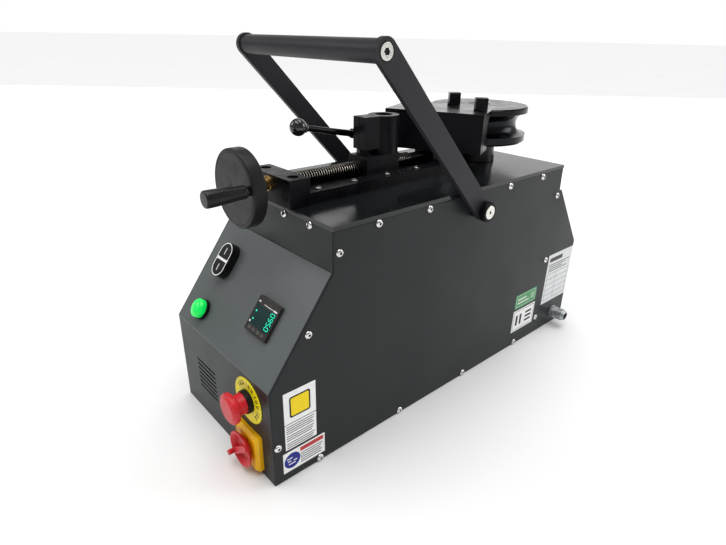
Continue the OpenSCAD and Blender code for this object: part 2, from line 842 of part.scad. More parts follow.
// Half of the oval face, grown by a clearance
module half_button(side, gap) {
    intersection() {
        translate([side * -half_pitch, 0]) stadium(44 + 2 * gap, 23 + 2 * gap);
        translate([side * (20 - 9.9 - gap), 0]) square([40, 60], center = true);
    }
}

module button_plunger(side) {
    on_slope(button_y, button_v) union() {
        translate([side * half_pitch, 0, 9.8]) linear_extrude(3.6) half_button(side, 0);
        translate([side * stem_pitch, 0, -12]) cylinder(r = 2.5, h = 22);
    }
}

module start_button() { color([0.16, 0.16, 0.17]) button_plunger(1); }

module stop_button() { color([0.16, 0.16, 0.17]) button_plunger(-1); }

module pilot_lamp() {
    color([0.0, 0.9, 0.35]) on_slope(lamp_y, lamp_v) rotate_extrude() polygon([
        [0, -40], [11, -40], [11, 0], [14.8, 0], [14.8, 4], [13.4, 4.6], [13.4, 11], [12.4, 13],
        [8, 14.4], [0, 15]
    ]);
}

module estop_base() {
    color([0.86, 0.80, 0.10]) on_front(estop_y, estop_z) difference() {
        union() {
            cylinder(r = 31.5, h = 1.2);
            cylinder(r = 15.6, h = 8);
            translate([0, 0, -45]) cylinder(r = 11, h = 46);
        }
        translate([0, 0, -12]) cylinder(r = 8, h = 30);
        translate([0, 0, 2.2]) cylinder(r = 14.1, h = 10);
    }
}

module estop_stem() {
    color([0.2, 0.2, 0.2]) on_front(estop_y, estop_z) difference() {
        translate([0, 0, -4]) cylinder(r = 7.95, h = 27);
        translate([0, 0, 9]) cylinder(r = 5, h = 20);
    }
}

module estop_head() {
    color([0.80, 0.20, 0.22]) on_front(estop_y, estop_z) rotate_extrude() polygon([
        [0, 10], [4.95, 10], [4.95, 23.4], [8.3, 23.4], [8.3, 8.1], [13.8, 8.1], [13.2, 17.5],
        [14.2, 20.2], [19.2, 21.2], [20.2, 22.6], [20.4, 26.4], [19.4, 29.2], [17.4, 30],
        [16.4, 30.7], [0, 31]
    ]);
}

module switch_plate() {
    color([0.98, 0.76, 0.05]) on_front(switch_y, switch_z) difference() {
        union() {
            linear_extrude(9.5) rounded([55, 55], 3);
            translate([0, 0, -50]) cylinder(r = 11, h = 51);
        }
        translate([0, 0, -20]) cylinder(r = 6, h = 60);
    }
}

// Dished round knob with a finger bar across it and a raised tip at the bar's lower end
module switch_knob() {
    color([0.82, 0.06, 0.14]) on_front(switch_y, switch_z) rotate(-52) union() {
        translate([0, 0, 9.9]) rotate_extrude() polygon([
            [0, 0], [16.5, 0], [24.6, 6], [25, 7], [24.6, 8.4], [22.8, 8.4], [15.5, 2.6], [0, 2.6]
        ]);
        translate([0, 0, 15]) linear_extrude(4.5) stadium(46, 9);
        translate([0, 0, 12]) linear_extrude(4) stadium(34, 9);
        translate([-23.5, 0, 16]) linear_extrude(9.5) stadium(9, 7);
        translate([0, 0, -12]) cylinder(r = 5.94, h = 24);
    }
}

module mains_gland() {
    color([0.75, 0.75, 0.75]) on_side(-1, gland_x, gland_z) difference() {
        union() {
            translate([0, 0, -18]) cylinder(r = 8, h = 20);
            cylinder(r = 12, h = 3);
            translate([0, 0, 2]) cylinder(r = 9.5, h = 12);
            translate([0, 0, 13]) cylinder(r = 10.6, h = 14);
            translate([0, 0, 26]) cylinder(r = 9, h = 4);
        }
        translate([0, 0, 14]) cylinder(r = 6.5, h = 30);
    }
}

// ---------- carry handle ----------

module in_handle() {
    translate([fx(pivot_x), 0, pivot_z]) rotate([0, -arm_lean, 0]) children();
}

module pivot_bolts() {
    color(steel_dark) for (s = [-1, 1]) on_side(s, pivot_x, pivot_z, 0) difference() {
        union() {
            translate([0, 0, 108]) cylinder(r = pivot_r, h = arm_y + arm_t + 1 - 108);
            translate([0, 0, arm_y + arm_t + 0.4]) cylinder(r = 14.5, h = 10);
            translate([0, 0, 109]) cylinder(r = 13, h = 12.8, $fn = 6);
        }
        translate([0, 0, arm_y + arm_t + 6]) cylinder(r = 1.8, h = 10);
    }
}

module pivot_spacers() {
    color(steel_dark) for (s = [-1, 1]) on_side(s, pivot_x, pivot_z) difference() {
        cylinder(r = 12.5, h = arm_y - case_w / 2 - 0.3);
        translate([0, 0, -1]) cylinder(r = pivot_r + 0.1, h = 20);
    }
}

module handle_arms() {
    color([0.24, 0.24, 0.26]) in_handle() for (s = [-1, 1]) translate([0, s * (arm_y + arm_t / 2), 0])
        difference() {
            translate([0, 0, arm_len / 2]) rotate([90, 0, 0]) linear_extrude(arm_t, center = true)
                rotate(90) stadium(arm_len + arm_w, arm_w);
            rotate([90, 0, 0]) cylinder(r = pivot_r + 0.06, h = 20, center = true);
            translate([0, 0, arm_len]) rotate([s * -90, 0, 0]) translate([0, 0, -arm_t / 2])
                grip_screw_shape(0);
        }
}

// A countersunk screw's outline, from the arm's inner face outwards
module grip_screw_shape(proud) {
    translate([0, 0, -26]) cylinder(r = 4, h = 28);
    cylinder(r1 = 4, r2 = cap_r, h = arm_t - 1);
    translate([0, 0, arm_t - 1]) cylinder(r = cap_r, h = 1 + proud);
    if (proud == 0) translate([0, 0, arm_t - 0.5]) cylinder(r = cap_r, h = 5);
}

module handle_grip() {
    color([0.22, 0.22, 0.24]) in_handle() translate([0, 0, arm_len]) rotate([90, 0, 0])
        difference() {
            cylinder(r = grip_d / 2, h = 2 * arm_y, center = true);
            for (s = [-1, 1]) translate([0, 0, s * arm_y]) cylinder(r = 4, h = 60, center = true);
            cylinder(r = grip_d / 2 - 3, h = 2 * arm_y - 80, center = true);
        }
}

module grip_screws() {
    color(steel_bright) in_handle() for (s = [-1, 1])
        translate([0, s * arm_y, arm_len]) rotate([s * -90, 0, 0]) difference() {
            grip_screw_shape(0.3);
            translate([0, 0, arm_t - 3]) cylinder(r = 3, h = 10, $fn = 6);
        }
}

base_plate();
side_panel_near();
side_panel_far();
front_lower_panel();
control_panel();
brow_strip();
top_plate();
rear_strip();
rear_cover();
frame_rails();
frame_posts();
panel_screws();
rail_base();
keeper_plates();
keeper_screws();
bearing_block();
socket_screws();
thrust_bush();
screw_end_block();
lead_screw();
handwheel();
grip_spindle();
crank_grip();
carriage_slide();
feed_nut();
tool_holder();
carriage_bolt();
clamp_lever();
lever_ball();
head_flange();
spindle_bearings();
bearing_bridge();
spindle();
bend_die();
clamp_block();
inner_jaw();
clamp_bolts();
drive_gear();
drive_pinion();
gearbox();
motor();
gearbox_stand();
power_supply();
contactor();
counter();
button_housing();
start_button();
stop_button();
pilot_lamp();
estop_base();
estop_stem();
estop_head();
switch_plate();
switch_knob();
mains_gland();
pivot_bolts();
pivot_spacers();
handle_arms();
handle_grip();
grip_screws();
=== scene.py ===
"""Looks of a bench tube bender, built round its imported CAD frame. Every length is in metres."""

import json
import math

import bmesh
import bpy
from mathutils import Matrix, Vector


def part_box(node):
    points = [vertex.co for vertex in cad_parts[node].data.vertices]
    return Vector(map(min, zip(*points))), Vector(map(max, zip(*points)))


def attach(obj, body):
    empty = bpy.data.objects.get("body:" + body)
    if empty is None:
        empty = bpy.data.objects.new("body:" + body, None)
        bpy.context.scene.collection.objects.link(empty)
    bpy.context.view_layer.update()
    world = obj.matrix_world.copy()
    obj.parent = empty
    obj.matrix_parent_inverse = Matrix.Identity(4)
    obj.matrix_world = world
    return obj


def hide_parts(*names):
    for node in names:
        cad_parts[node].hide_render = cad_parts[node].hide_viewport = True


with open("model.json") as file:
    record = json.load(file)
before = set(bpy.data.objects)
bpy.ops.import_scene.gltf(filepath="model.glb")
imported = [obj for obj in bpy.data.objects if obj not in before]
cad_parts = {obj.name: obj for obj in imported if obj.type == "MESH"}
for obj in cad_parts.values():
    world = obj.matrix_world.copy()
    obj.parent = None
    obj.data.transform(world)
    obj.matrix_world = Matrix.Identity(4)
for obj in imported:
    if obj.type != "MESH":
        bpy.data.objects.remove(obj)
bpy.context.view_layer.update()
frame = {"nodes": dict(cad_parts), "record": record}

MM = 0.001
NODE_BODY = {n: b for b, ns in frame["record"]["behaviour"]["bodies"].items() for n in ns}
NODE_SLOT = {s["node"]: s["material_slot"] for s in frame["record"]["subparts"]}
JOINT = {j["name"]: j for j in frame["record"]["behaviour"]["joints"]}


def add_object(name, data):
    obj = bpy.data.objects.new(name, data)
    bpy.context.collection.objects.link(obj)
    return obj


# ---------- camera ----------

def aim(obj, right, forward):
    """Turns obj so that its local X is right and its local -Z is forward."""
    back = -Vector(forward).normalized()
    x = Vector(right).normalized()
    x = (x - back * x.dot(back)).normalized()
    turn = Matrix((x, back.cross(x), back)).transposed()
    obj.matrix_world = Matrix.Translation(obj.location) @ turn.to_4x4()


def make_camera():
    """A wide lens above the control end, turned towards the near side."""
    lens = bpy.data.cameras.new("camera")
    lens.sensor_width = 36
    lens.lens = 25.69
    cam = add_object("camera", lens)
    cam.location = (-0.5832, -0.5528, 0.5238)
    aim(cam, (0.7465, -0.6654, 0.0211), (0.6037, 0.6772, -0.4206))
    bpy.context.scene.camera = cam


# ---------- local frames ----------

def placed(origin, x, z):
    """A frame at origin with the given local X and local Z directions."""
    x, z = Vector(x).normalized(), Vector(z).normalized()
    turn = Matrix((x, z.cross(x), z)).transposed()
    return Matrix.Translation(Vector(origin)) @ turn.to_4x4()


def corners(points):
    """Lowest and highest corner of the box round some points."""
    low = Vector([min(p[i] for p in points) for i in range(3)])
    high = Vector([max(p[i] for p in points) for i in range(3)])
    return low, high


def span(node, place):
    """Lowest and highest corner of a CAD node, measured in a local frame."""
    back = place.inverted()
    return corners([back @ v.co for v in frame["nodes"][node].data.vertices])


front_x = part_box("front_lower_panel")[0].x
near_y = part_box("side_panel_near")[0].y
slope_low = Vector((front_x, 0, 0.142))
slope_top = Vector((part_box("brow_strip")[0].x, 0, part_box("control_panel")[1].z))
slope_up = (slope_top - slope_low).normalized()
SLOPE = placed(slope_top, slope_up, (-slope_up.z, 0, slope_up.x))
NEAR = placed((front_x, near_y, 0), (1, 0, 0), (0, -1, 0))


# ---------- materials ----------

class Nodes:
    """Short calls for wiring one material's nodes."""

    def __init__(self, name):
        self.material = bpy.data.materials.new(name)
        self.material.use_nodes = True
        self.tree = self.material.node_tree
        self.shader = self.tree.nodes["Principled BSDF"]
        self.place = self.add("ShaderNodeTexCoord").outputs["Object"]

    def add(self, kind, **settings):
        node = self.tree.nodes.new(kind)
        for key, value in settings.items():
            setattr(node, key, value)
        return node

    def link(self, source, target):
        self.tree.links.new(source, target)

    def mapped(self, scale, move=(0, 0, 0)):
        node = self.add("ShaderNodeMapping")
        node.inputs["Location"].default_value = move
        node.inputs["Scale"].default_value = scale
        self.link(self.place, node.inputs["Vector"])
        return node.outputs["Vector"]

    def noise(self, scale, detail=3.0, rough=0.55, source=None):
        node = self.add("ShaderNodeTexNoise")
        node.inputs["Scale"].default_value = scale
        node.inputs["Detail"].default_value = detail
        node.inputs["Roughness"].default_value = rough
        self.link(source or self.place, node.inputs["Vector"])
        return node.outputs["Fac"]

    def fit(self, value, low, high, from_low=0.3, from_high=0.7):
        node = self.add("ShaderNodeMapRange")
        node.inputs["From Min"].default_value = from_low
        node.inputs["From Max"].default_value = from_high
        node.inputs["To Min"].default_value = low
        node.inputs["To Max"].default_value = high
        self.link(value, node.inputs["Value"])
        return node.outputs["Result"]

    def mix(self, factor, one, two):
        node = self.add("ShaderNodeMix", data_type="RGBA")
        for socket, value in zip(("A", "B"), (one, two)):
            target = [s for s in node.inputs if s.name == socket and s.type == "RGBA"][0]
            if isinstance(value, tuple):
                target.default_value = (*value, 1)
            else:
                self.link(value, target)
        self.link(factor, node.inputs["Factor"])
        return [s for s in node.outputs if s.type == "RGBA"][0]

    def math(self, operation, one, two):
        node = self.add("ShaderNodeMath", operation=operation)
        for index, value in enumerate((one, two)):
            if isinstance(value, (int, float)):
                node.inputs[index].default_value = value
            else:
                self.link(value, node.inputs[index])
        return node.outputs[0]

    def bump(self, height, distance):
        node = self.add("ShaderNodeBump")
        node.inputs["Distance"].default_value = distance
        self.link(height, node.inputs["Height"])
        return node.outputs["Normal"]

    def edges(self, radius, low=0.02, high=0.30):
        """1 on edges and 0 on flats, broken up by noise: rubbed wear, and in the oxide finish also a painted
        edge highlight.
        """
        bevel = self.add("ShaderNodeBevel", samples=4)
        bevel.inputs["Radius"].default_value = radius
        true = self.add("ShaderNodeNewGeometry").outputs["Normal"]
        dot = self.add("ShaderNodeVectorMath", operation="DOT_PRODUCT")
        self.link(bevel.outputs["Normal"], dot.inputs[0])
        self.link(true, dot.inputs[1])
        off = self.math("SUBTRACT", 1.0, dot.outputs["Value"])
        wear_and_sheen = self.fit(off, 0.0, 1.0, low, high)
        return self.math("MULTIPLY", wear_and_sheen, self.fit(self.noise(90), 0.25, 1.0))


def tint(color, factor):
    return tuple(min(1.0, c * factor) for c in color)


def coat(name, color, rough=0.42, grain=650, depth=0.00004, wear=(0.30, 0.31, 0.31), spec=0.5):
    """Powder coat or paint: fine orange peel, faint cloudy shade, dust in the finish and rubbed edges."""
    n = Nodes(name)
    cloud = n.fit(n.noise(5, 4), 0.0, 1.0)
    base = n.mix(cloud, tint(color, 0.88), tint(color, 1.12))
    specks = n.fit(n.noise(420, 2), 0.0, 1.0, 0.62, 0.75)
    base = n.mix(n.math("MULTIPLY", specks, 0.25), base, tint(color, 1.9))
    base = n.mix(n.math("MULTIPLY", n.edges(0.0009), 0.35), base, wear)
    n.link(base, n.shader.inputs["Base Color"])
    n.link(n.fit(n.noise(14, 5), rough - 0.06, rough + 0.07), n.shader.inputs["Roughness"])
    n.shader.inputs["Specular IOR Level"].default_value = spec
    n.link(n.bump(n.noise(grain, 2), depth), n.shader.inputs["Normal"])
    return n.material


def metal(name, color, rough=0.32, axis=None, centre=(0, 0, 0), pitch=1600, depth=0.00002):
    """Machined metal. axis is X, Y or Z for turning marks round that axis, and None for milled grain."""
    n = Nodes(name)
    if axis:
        keep = {"X": (0, 1, 1), "Y": (1, 0, 1), "Z": (1, 1, 0)}[axis]
        move = n.mapped(keep, tuple(-c * k for c, k in zip(centre, keep)))
        length = n.add("ShaderNodeVectorMath", operation="LENGTH")
        n.link(move, length.inputs[0])
        lines = n.add("ShaderNodeTexNoise", noise_dimensions="1D")
        lines.inputs["Scale"].default_value = pitch
        lines.inputs["Detail"].default_value = 2
        n.link(length.outputs["Value"], lines.inputs["W"])
        marks = lines.outputs["Fac"]
    else:
        marks = n.noise(1, 2, source=n.mapped((pitch * 0.04, pitch, pitch)))
    cloud = n.fit(n.noise(22, 5), 0.0, 1.0)
    base = n.mix(cloud, tint(color, 0.75), tint(color, 1.08))
    base = n.mix(n.math("MULTIPLY", n.fit(marks, 0.0, 1.0), 0.25), base, tint(color, 0.8))
    base = n.mix(n.math("MULTIPLY", n.edges(0.0007), 0.5), base, tint(color, 1.6))
    n.link(base, n.shader.inputs["Base Color"])
    n.shader.inputs["Metallic"].default_value = 1.0
    n.link(n.fit(n.noise(35, 4), rough - 0.07, rough + 0.10), n.shader.inputs["Roughness"])
    n.link(n.bump(marks, depth), n.shader.inputs["Normal"])
    return n.material


def oxide(name, color, rough=0.28, spec=0.09):
    """Black-oxide steel: dark, faintly mottled, with oil sheen, and bright corners that are rubbed wear and
    painted highlight together.
    """
    n = Nodes(name)
    mottle = n.fit(n.noise(30, 6, 0.65), 0.0, 1.0)
    base = n.mix(mottle, tint(color, 0.6), tint(color, 1.6))
    # Lighter corners: rubbed wear, and a painted highlight along the edges.
    base = n.mix(n.math("MULTIPLY", n.edges(0.0008), 0.30), base, (0.14, 0.14, 0.14))
    n.link(base, n.shader.inputs["Base Color"])
    n.shader.inputs["Specular IOR Level"].default_value = spec
    n.link(n.fit(n.noise(60, 5), rough - 0.08, rough + 0.12), n.shader.inputs["Roughness"])
    grain = n.noise(1, 3, source=n.mapped((60, 900, 900)))
    n.link(n.bump(grain, 0.00002), n.shader.inputs["Normal"])
    return n.material


def plastic(name, color, rough=0.35, grain=900, depth=0.00002, shade=0.12, spec=0.5, coat_weight=0.0):
    """Moulded plastic: fine moulded grain, slight shade and finger-worn gloss."""
    n = Nodes(name)
    base = n.mix(n.fit(n.noise(40, 3), 0.0, 1.0), tint(color, 1 - shade), tint(color, 1 + shade))
    n.link(base, n.shader.inputs["Base Color"])
    n.link(n.fit(n.noise(70, 4), rough - 0.05, rough + 0.08), n.shader.inputs["Roughness"])
    n.shader.inputs["Specular IOR Level"].default_value = spec
    n.shader.inputs["Coat Weight"].default_value = coat_weight
    n.link(n.bump(n.noise(grain, 2), depth), n.shader.inputs["Normal"])
    return n.material


def glowing(name, color, strength):
    """A lit lens or digit: faintly uneven."""
    n = Nodes(name)
    base = n.mix(n.fit(n.noise(160, 2), 0.0, 1.0), tint(color, 0.75), color)
    n.link(base, n.shader.inputs["Base Color"])
    n.link(base, n.shader.inputs["Emission Color"])
    n.shader.inputs["Emission Strength"].default_value = strength
    n.shader.inputs["Roughness"].default_value = 0.25
    return n.material


wheel_x = JOINT["handwheel_turn"]["pos_m"]
head_at = JOINT["head_turn"]["pos_m"]
MAT = {
    "case_paint": coat("case_coat", (0.020, 0.023, 0.024), 0.36, spec=0.18),
    # The control slope's paint is the case paint made several times lighter: painted light for the light that
    # falls on the upward slope.
    "slope_lit_paint": coat("slope_coat_painted_light", (0.100, 0.112, 0.112), 0.34, spec=0.30),
    "top_paint": coat("top_coat", (0.008, 0.009, 0.010), 0.15, 300, 0.00001, spec=0.42),
    "frame_steel": coat("frame_coat", (0.05, 0.05, 0.055), 0.5),
    "black_steel": oxide("black_oxide", (0.0052, 0.0056, 0.0072)),
    "bright_steel": metal("turned_steel", (0.020, 0.021, 0.023), 0.22, "Z", head_at),
    # Lighter steel for the bend die's top face: painted sheen for the bright surroundings it reflects.
    "die_top_sheen": metal("die_top_painted_sheen", (0.105, 0.105, 0.102), 0.26, "Z", head_at),
    # Light steel for the clamp block's top face, on black-oxide sides: painted sheen for the bright
    # surroundings it reflects.
    "block_top_sheen": metal("block_top_painted_sheen", (0.20, 0.202, 0.205), 0.26),
    # The keeper screws' zinc is a darker copy of the panel screws' zinc: painted shade.
    "keeper_zinc_shaded": metal("zinc_painted_shade", (0.30, 0.30, 0.29), 0.30, depth=0.000008),
    "hub_steel": metal("hub_steel", (0.045, 0.045, 0.047), 0.32, "Z", head_at),
    "screw_steel": metal("thread_steel", (0.56, 0.52, 0.45), 0.30, "X", wheel_x),
    "thread_root": metal("dark_root_steel", (0.035, 0.033, 0.030), 0.45, "X", wheel_x),
    "zinc_screw": metal("zinc_plate", (0.80, 0.79, 0.77), 0.20, depth=0.000008),
    "bronze": metal("bearing_bronze", (0.52, 0.34, 0.13), 0.24, "X", wheel_x),
    "arm_paint": coat("arm_coat", (0.024, 0.024, 0.028), 0.42, 900, 0.00005, (0.12, 0.12, 0.12), 0.2),
    "black_plastic": plastic("phenolic", (0.010, 0.010, 0.011), 0.26, 500, 0.00003, spec=0.24),
    "ball_plastic": plastic("ball_phenolic", (0.010, 0.010, 0.012), 0.10, spec=0.7, coat_weight=0.3),
    "red_plastic": plastic("red_moulding", (0.62, 0.016, 0.026), 0.32, spec=0.35),
    "yellow_plastic": plastic("yellow_moulding", (1.0, 0.50, 0.003), 0.34, spec=0.25),
    "green_lens": glowing("green_lens", (0.0, 0.62, 0.085), 0.75),
    "dark_plastic": plastic("dark_moulding", (0.010, 0.010, 0.011), 0.34, spec=0.16),
    "light_plastic": plastic("light_moulding", (0.60, 0.60, 0.57), 0.4),
    "gland_plastic": metal("gland_metal", (0.50, 0.53, 0.55), 0.32, depth=0.00001),
    "gear_steel": metal("gear_steel", (0.40, 0.40, 0.40), 0.35),
    "cast_grey": coat("cast_paint", (0.10, 0.11, 0.12), 0.55, 220, 0.0002),
    "motor_paint": coat("motor_coat", (0.12, 0.14, 0.18), 0.5),
    "wheel_black": plastic("wheel_phenolic", (0.011, 0.011, 0.0115), 0.40, 420, 0.00005, spec=0.22),
    "disc_nickel": metal("nickel_plate", (0.80, 0.79, 0.74), 0.24, depth=0.000005),
    "counter_face": plastic("counter_moulding", (0.034, 0.030, 0.029), 0.42, spec=0.2),
    "tinted_glass": plastic("tinted_window", (0.010, 0.036, 0.034), 0.10, depth=0.000002, spec=0.3),
    "digit_glow": glowing("digit_glow", (0.01, 0.82, 0.50), 1.0),
    "grey_key": plastic("key_rubber", (0.085, 0.080, 0.078), 0.5, spec=0.2),
    "white_print": plastic("white_print", (0.90, 0.90, 0.88), 0.40, shade=0.04),
    "pale_print": plastic("pale_print", (0.62, 0.72, 0.60), 0.42, shade=0.05),
    "grey_print": plastic("grey_print", (0.060, 0.060, 0.064), 0.45, shade=0.10, spec=0.2),
    # Dark print, also used as painted shade in the screw sockets.
    "dark_print_and_shade": plastic("dark_print_and_shade", (0.012, 0.012, 0.013), 0.45, shade=0.10, spec=0.15),
    "brown_print": plastic("brown_print", (0.16, 0.055, 0.012), 0.45, shade=0.10),
    "red_print": plastic("red_print", (0.55, 0.025, 0.030), 0.42, shade=0.08),
    "blue_print": plastic("blue_print", (0.018, 0.026, 0.260), 0.42, shade=0.08, spec=0.2),
    "white_label": plastic("white_label", (0.93, 0.93, 0.92), 0.38, 260, 0.00003, 0.03),
    "silver_label": plastic("silver_label", (0.74, 0.75, 0.76), 0.34, 260, 0.00003, 0.05),
    "yellow_label": plastic("yellow_label", (0.98, 0.72, 0.006), 0.38, 260, 0.00003, 0.04, 0.3),
    "green_label": plastic("green_label", (0.045, 0.290, 0.100), 0.38, 260, 0.00003, 0.06),
    "estop_yellow": plastic("ring_yellow", (0.90, 0.78, 0.010), 0.38, spec=0.25),
}


def assign_node_materials():
    for node, obj in frame["nodes"].items():
        obj.data.materials.clear()
        obj.data.materials.append(MAT[NODE_SLOT[node]])


# ---------- mesh helpers ----------

SHARP = math.radians(34)


def mark_sharp(bm, angle):
    """Smooth faces, with edges sharper than the angle kept crisp."""
    for face in bm.faces:
        face.smooth = True
    for edge in bm.edges:
        edge.smooth = edge.is_manifold and edge.calc_face_angle(0) < angle


def round_edges(bm, width):
    hard = [e for e in bm.edges if e.is_manifold and e.calc_face_angle(0) > SHARP]
    bmesh.ops.bevel(bm, geom=hard, offset=width, segments=2, profile=0.6,
                    affect="EDGES", clamp_overlap=True)


def to_piece(bm, name, material, body, place=None, replaced=(), angle=SHARP):
    """Turns a bmesh into a finished piece that rides on a body."""
    mark_sharp(bm, angle)
    mesh = bpy.data.meshes.new(name)
    bm.to_mesh(mesh)
    bm.free()
    if place is not None:
        mesh.transform(place)
    mesh.materials.append(MAT[material])
    obj = add_object(name, mesh)
    even = obj.modifiers.new("even_normals", "WEIGHTED_NORMAL")
    even.keep_sharp = True
    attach(obj, body)
    if replaced:
        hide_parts(*replaced)
    return obj


def clean_copy(node):
    """A bmesh of a CAD node with its flats merged into single faces."""
    bm = bmesh.new()
    bm.from_mesh(frame["nodes"][node].data)
    bmesh.ops.remove_doubles(bm, verts=bm.verts, dist=2e-6)
    bmesh.ops.dissolve_limit(bm, angle_limit=math.radians(0.5), verts=bm.verts, edges=bm.edges)
    return bm


def paint_top_sheen(obj, material):
    """Gives a piece's highest upward faces a lighter steel colour: painted sheen for the bright surroundings
    those tops reflect.
    """
    obj.data.materials.append(MAT[material])
    top = max(v.co.z for v in obj.data.vertices)
    for face in obj.data.polygons:
        if face.normal.z > 0.9 and face.center.z > top - 2 * MM:
            face.material_index = 1


def softened(node, width, material=None):
    """A copy of a CAD node with its hard edges rounded, which stands for that node."""
    bm = clean_copy(node)
    round_edges(bm, width)
    slot = NODE_SLOT[node]
    return to_piece(bm, node + "_soft", material or slot, NODE_BODY[node], replaced=(node,))


def ring_of(bm, points):
    return [bm.verts.new(p) for p in points]


def lathe(profile, steps=64):
    """A closed solid round local Z from (radius, height) points. A third value makes a row a polygon."""
    bm = bmesh.new()
    rows = []
    turn = [2 * math.pi * i / steps for i in range(steps)]
    for radius, height, *sides in profile:
        if radius < 1e-9:
            rows.append([bm.verts.new((0, 0, height))])
            continue
        points = []
        for a in turn:
            part = 2 * math.pi / sides[0] if sides else 0
            reach = radius / math.cos(a % part - part / 2) if sides else radius
            points.append((reach * math.cos(a), reach * math.sin(a), height))
        rows.append(ring_of(bm, points))
    for low, high in zip(rows, rows[1:]):
        for i in range(steps):
            j = (i + 1) % steps
            ends = [low[i % len(low)], low[j % len(low)], high[j % len(high)], high[i % len(high)]]
            unique = list(dict.fromkeys(ends))
            if len(unique) > 2:
                bm.faces.new(unique)
    if len(rows[0]) > 1 and len(rows[-1]) > 1:
        for i in range(steps):
            j = (i + 1) % steps
            bm.faces.new([rows[-1][i], rows[-1][j], rows[0][j], rows[0][i]])
    bmesh.ops.recalc_face_normals(bm, faces=bm.faces)
    return bm


def turned(rows, steps=64):
    """A lathe solid from rows in millimetres, each with its number of sides where it is a polygon."""
    return lathe([(radius * MM, height * MM, *sides) for radius, height, *sides in rows], steps)


def slab(outline, low, high, width=0.0):
    """An extruded outline between two local heights, with its edges rounded."""
    bm = bmesh.new()
    face = bm.faces.new(ring_of(bm, [(x, y, low) for x, y in outline]))
    made = bmesh.ops.extrude_face_region(bm, geom=[face])
    moved = [v for v in made["geom"] if isinstance(v, bmesh.types.BMVert)]
    bmesh.ops.translate(bm, verts=moved, vec=(0, 0, high - low))
    bmesh.ops.recalc_face_normals(bm, faces=bm.faces)
    if width:
        round_edges(bm, width)
    return bm


def rounded_rect(x0, y0, x1, y1, radius, steps=5):
    """Outline of a rectangle with round corners, anticlockwise."""
    rounds = [(x1 - radius, y1 - radius, 0), (x0 + radius, y1 - radius, 90),
              (x0 + radius, y0 + radius, 180), (x1 - radius, y0 + radius, 270)]
    points = []
    for cx, cy, start in rounds:
        for i in range(steps + 1):
            a = math.radians(start + 90 * i / steps)
            points.append((cx + radius * math.cos(a), cy + radius * math.sin(a)))
    return points


def square(half, radius):
    """Outline of a square with round corners, centred on the local origin."""
    return rounded_rect(-half, -half, half, half, radius)


def in_mm(rows):
    return [tuple(v * MM for v in row) for row in rows]


def disc(cx, cy, radius, steps=40):
    turn = [2 * math.pi * i / steps for i in range(steps)]
    return [(cx + radius * math.cos(a), cy + radius * math.sin(a)) for a in turn]


def merge(target, other, place=Matrix.Identity(4)):
    """Moves one bmesh and adds it to another."""
    bmesh.ops.transform(other, verts=other.verts, matrix=place)
    mesh = bpy.data.meshes.new("part")
    other.to_mesh(mesh)
    other.free()
    target.from_mesh(mesh)
    bpy.data.meshes.remove(mesh)
    return target


def slabs(boxes, low, high, radius=0.0001):
    """Several thin plates (x0, y0, x1, y1) in one bmesh."""
    bm = bmesh.new()
    for x0, y0, x1, y1 in boxes:
        corner = min(radius, (x1 - x0) / 3, (y1 - y0) / 3)
        merge(bm, slab(rounded_rect(x0, y0, x1, y1, corner, 2), low, high))
    return bm


make_camera()
assign_node_materials()

# ---------- softened CAD shapes ----------

def soften_machined_parts():
    """Machined, folded and moulded parts keep their CAD shape and gain small edge radii."""
    widths = {
        0.0008: ["top_plate", "tool_holder", "clamp_bolts", "carriage_bolt", "base_plate"],
        0.0006: ["rail_base", "bearing_block", "screw_end_block", "carriage_slide",
                 "inner_jaw", "handle_arms", "brow_strip", "rear_strip"],
        0.0004: ["keeper_plates", "front_lower_panel",
                 "rear_cover", "handle_grip", "pivot_spacers", "button_housing",
                 "socket_screws", "clamp_lever"],
        0.0003: ["start_button", "stop_button"],
        0.0012: ["switch_knob"],
    }
    for width, nodes in widths.items():
        for node in nodes:
            softened(node, width)
    softened("spindle", 0.0006, "hub_steel")
    # The control panel takes the lighter copy of the case paint: painted light.
    softened("control_panel", 0.0004, "slope_lit_paint")
    # The die's top face gets the lighter steel: painted sheen.
    paint_top_sheen(softened("bend_die", 0.0006), "die_top_sheen")
    # The clamp block's top face gets the light steel: painted sheen.
    paint_top_sheen(softened("clamp_block", 0.0010), "block_top_sheen")


def make_side_panels():
    """Each side panel's long outer edges are rolled to a small radius."""
    for node, side in (("side_panel_near", -1), ("side_panel_far", 1)):
        bm = clean_copy(node)
        face = max(side * v.co.y for v in bm.verts)
        rim = [e for e in bm.edges if e.is_manifold and e.calc_face_angle(0) > SHARP
               and e.calc_length() > 20 * MM and all(side * v.co.y > face - 1e-5 for v in e.verts)]
        bmesh.ops.bevel(bm, geom=rim, offset=2.0 * MM, segments=4, profile=0.5, affect="EDGES",
                        clamp_overlap=True)
        to_piece(bm, node + "_rolled", "case_paint", "case", replaced=(node,))


# ---------- screws ----------

def islands(node):
    """Low and high corner of every separate solid in a CAD node."""
    bm = bmesh.new()
    bm.from_mesh(frame["nodes"][node].data)
    bmesh.ops.remove_doubles(bm, verts=bm.verts, dist=2e-6)
    bm.verts.ensure_lookup_table()
    left, found = set(bm.verts), []
    for start in list(bm.verts):
        if start not in left:
            continue
        group, queue = [], [start]
        left.discard(start)
        while queue:
            vert = queue.pop()
            group.append(vert.co.copy())
            for edge in vert.link_edges:
                other = edge.other_vert(vert)
                if other in left:
                    left.discard(other)
                    queue.append(other)
        found.append(corners(group))
    bm.free()
    return found


def button_head(radius, height, socket, shank, length):
    """A button-head screw's profile: shank, domed head and a hexagon socket with a chamfered mouth."""
    return [
        (0, -length), (shank, -length), (shank, 0), (radius * 0.97, 0), (radius, height * 0.08),
        (radius, height * 0.24), (radius * 0.95, height * 0.46), (radius * 0.84, height * 0.70),
        (radius * 0.68, height * 0.87), (socket * 1.45, height * 0.97), (socket * 1.20, height),
        (socket * 1.02, height * 0.93, 6), (socket, height * 0.30, 6), (0, height * 0.16),
    ]


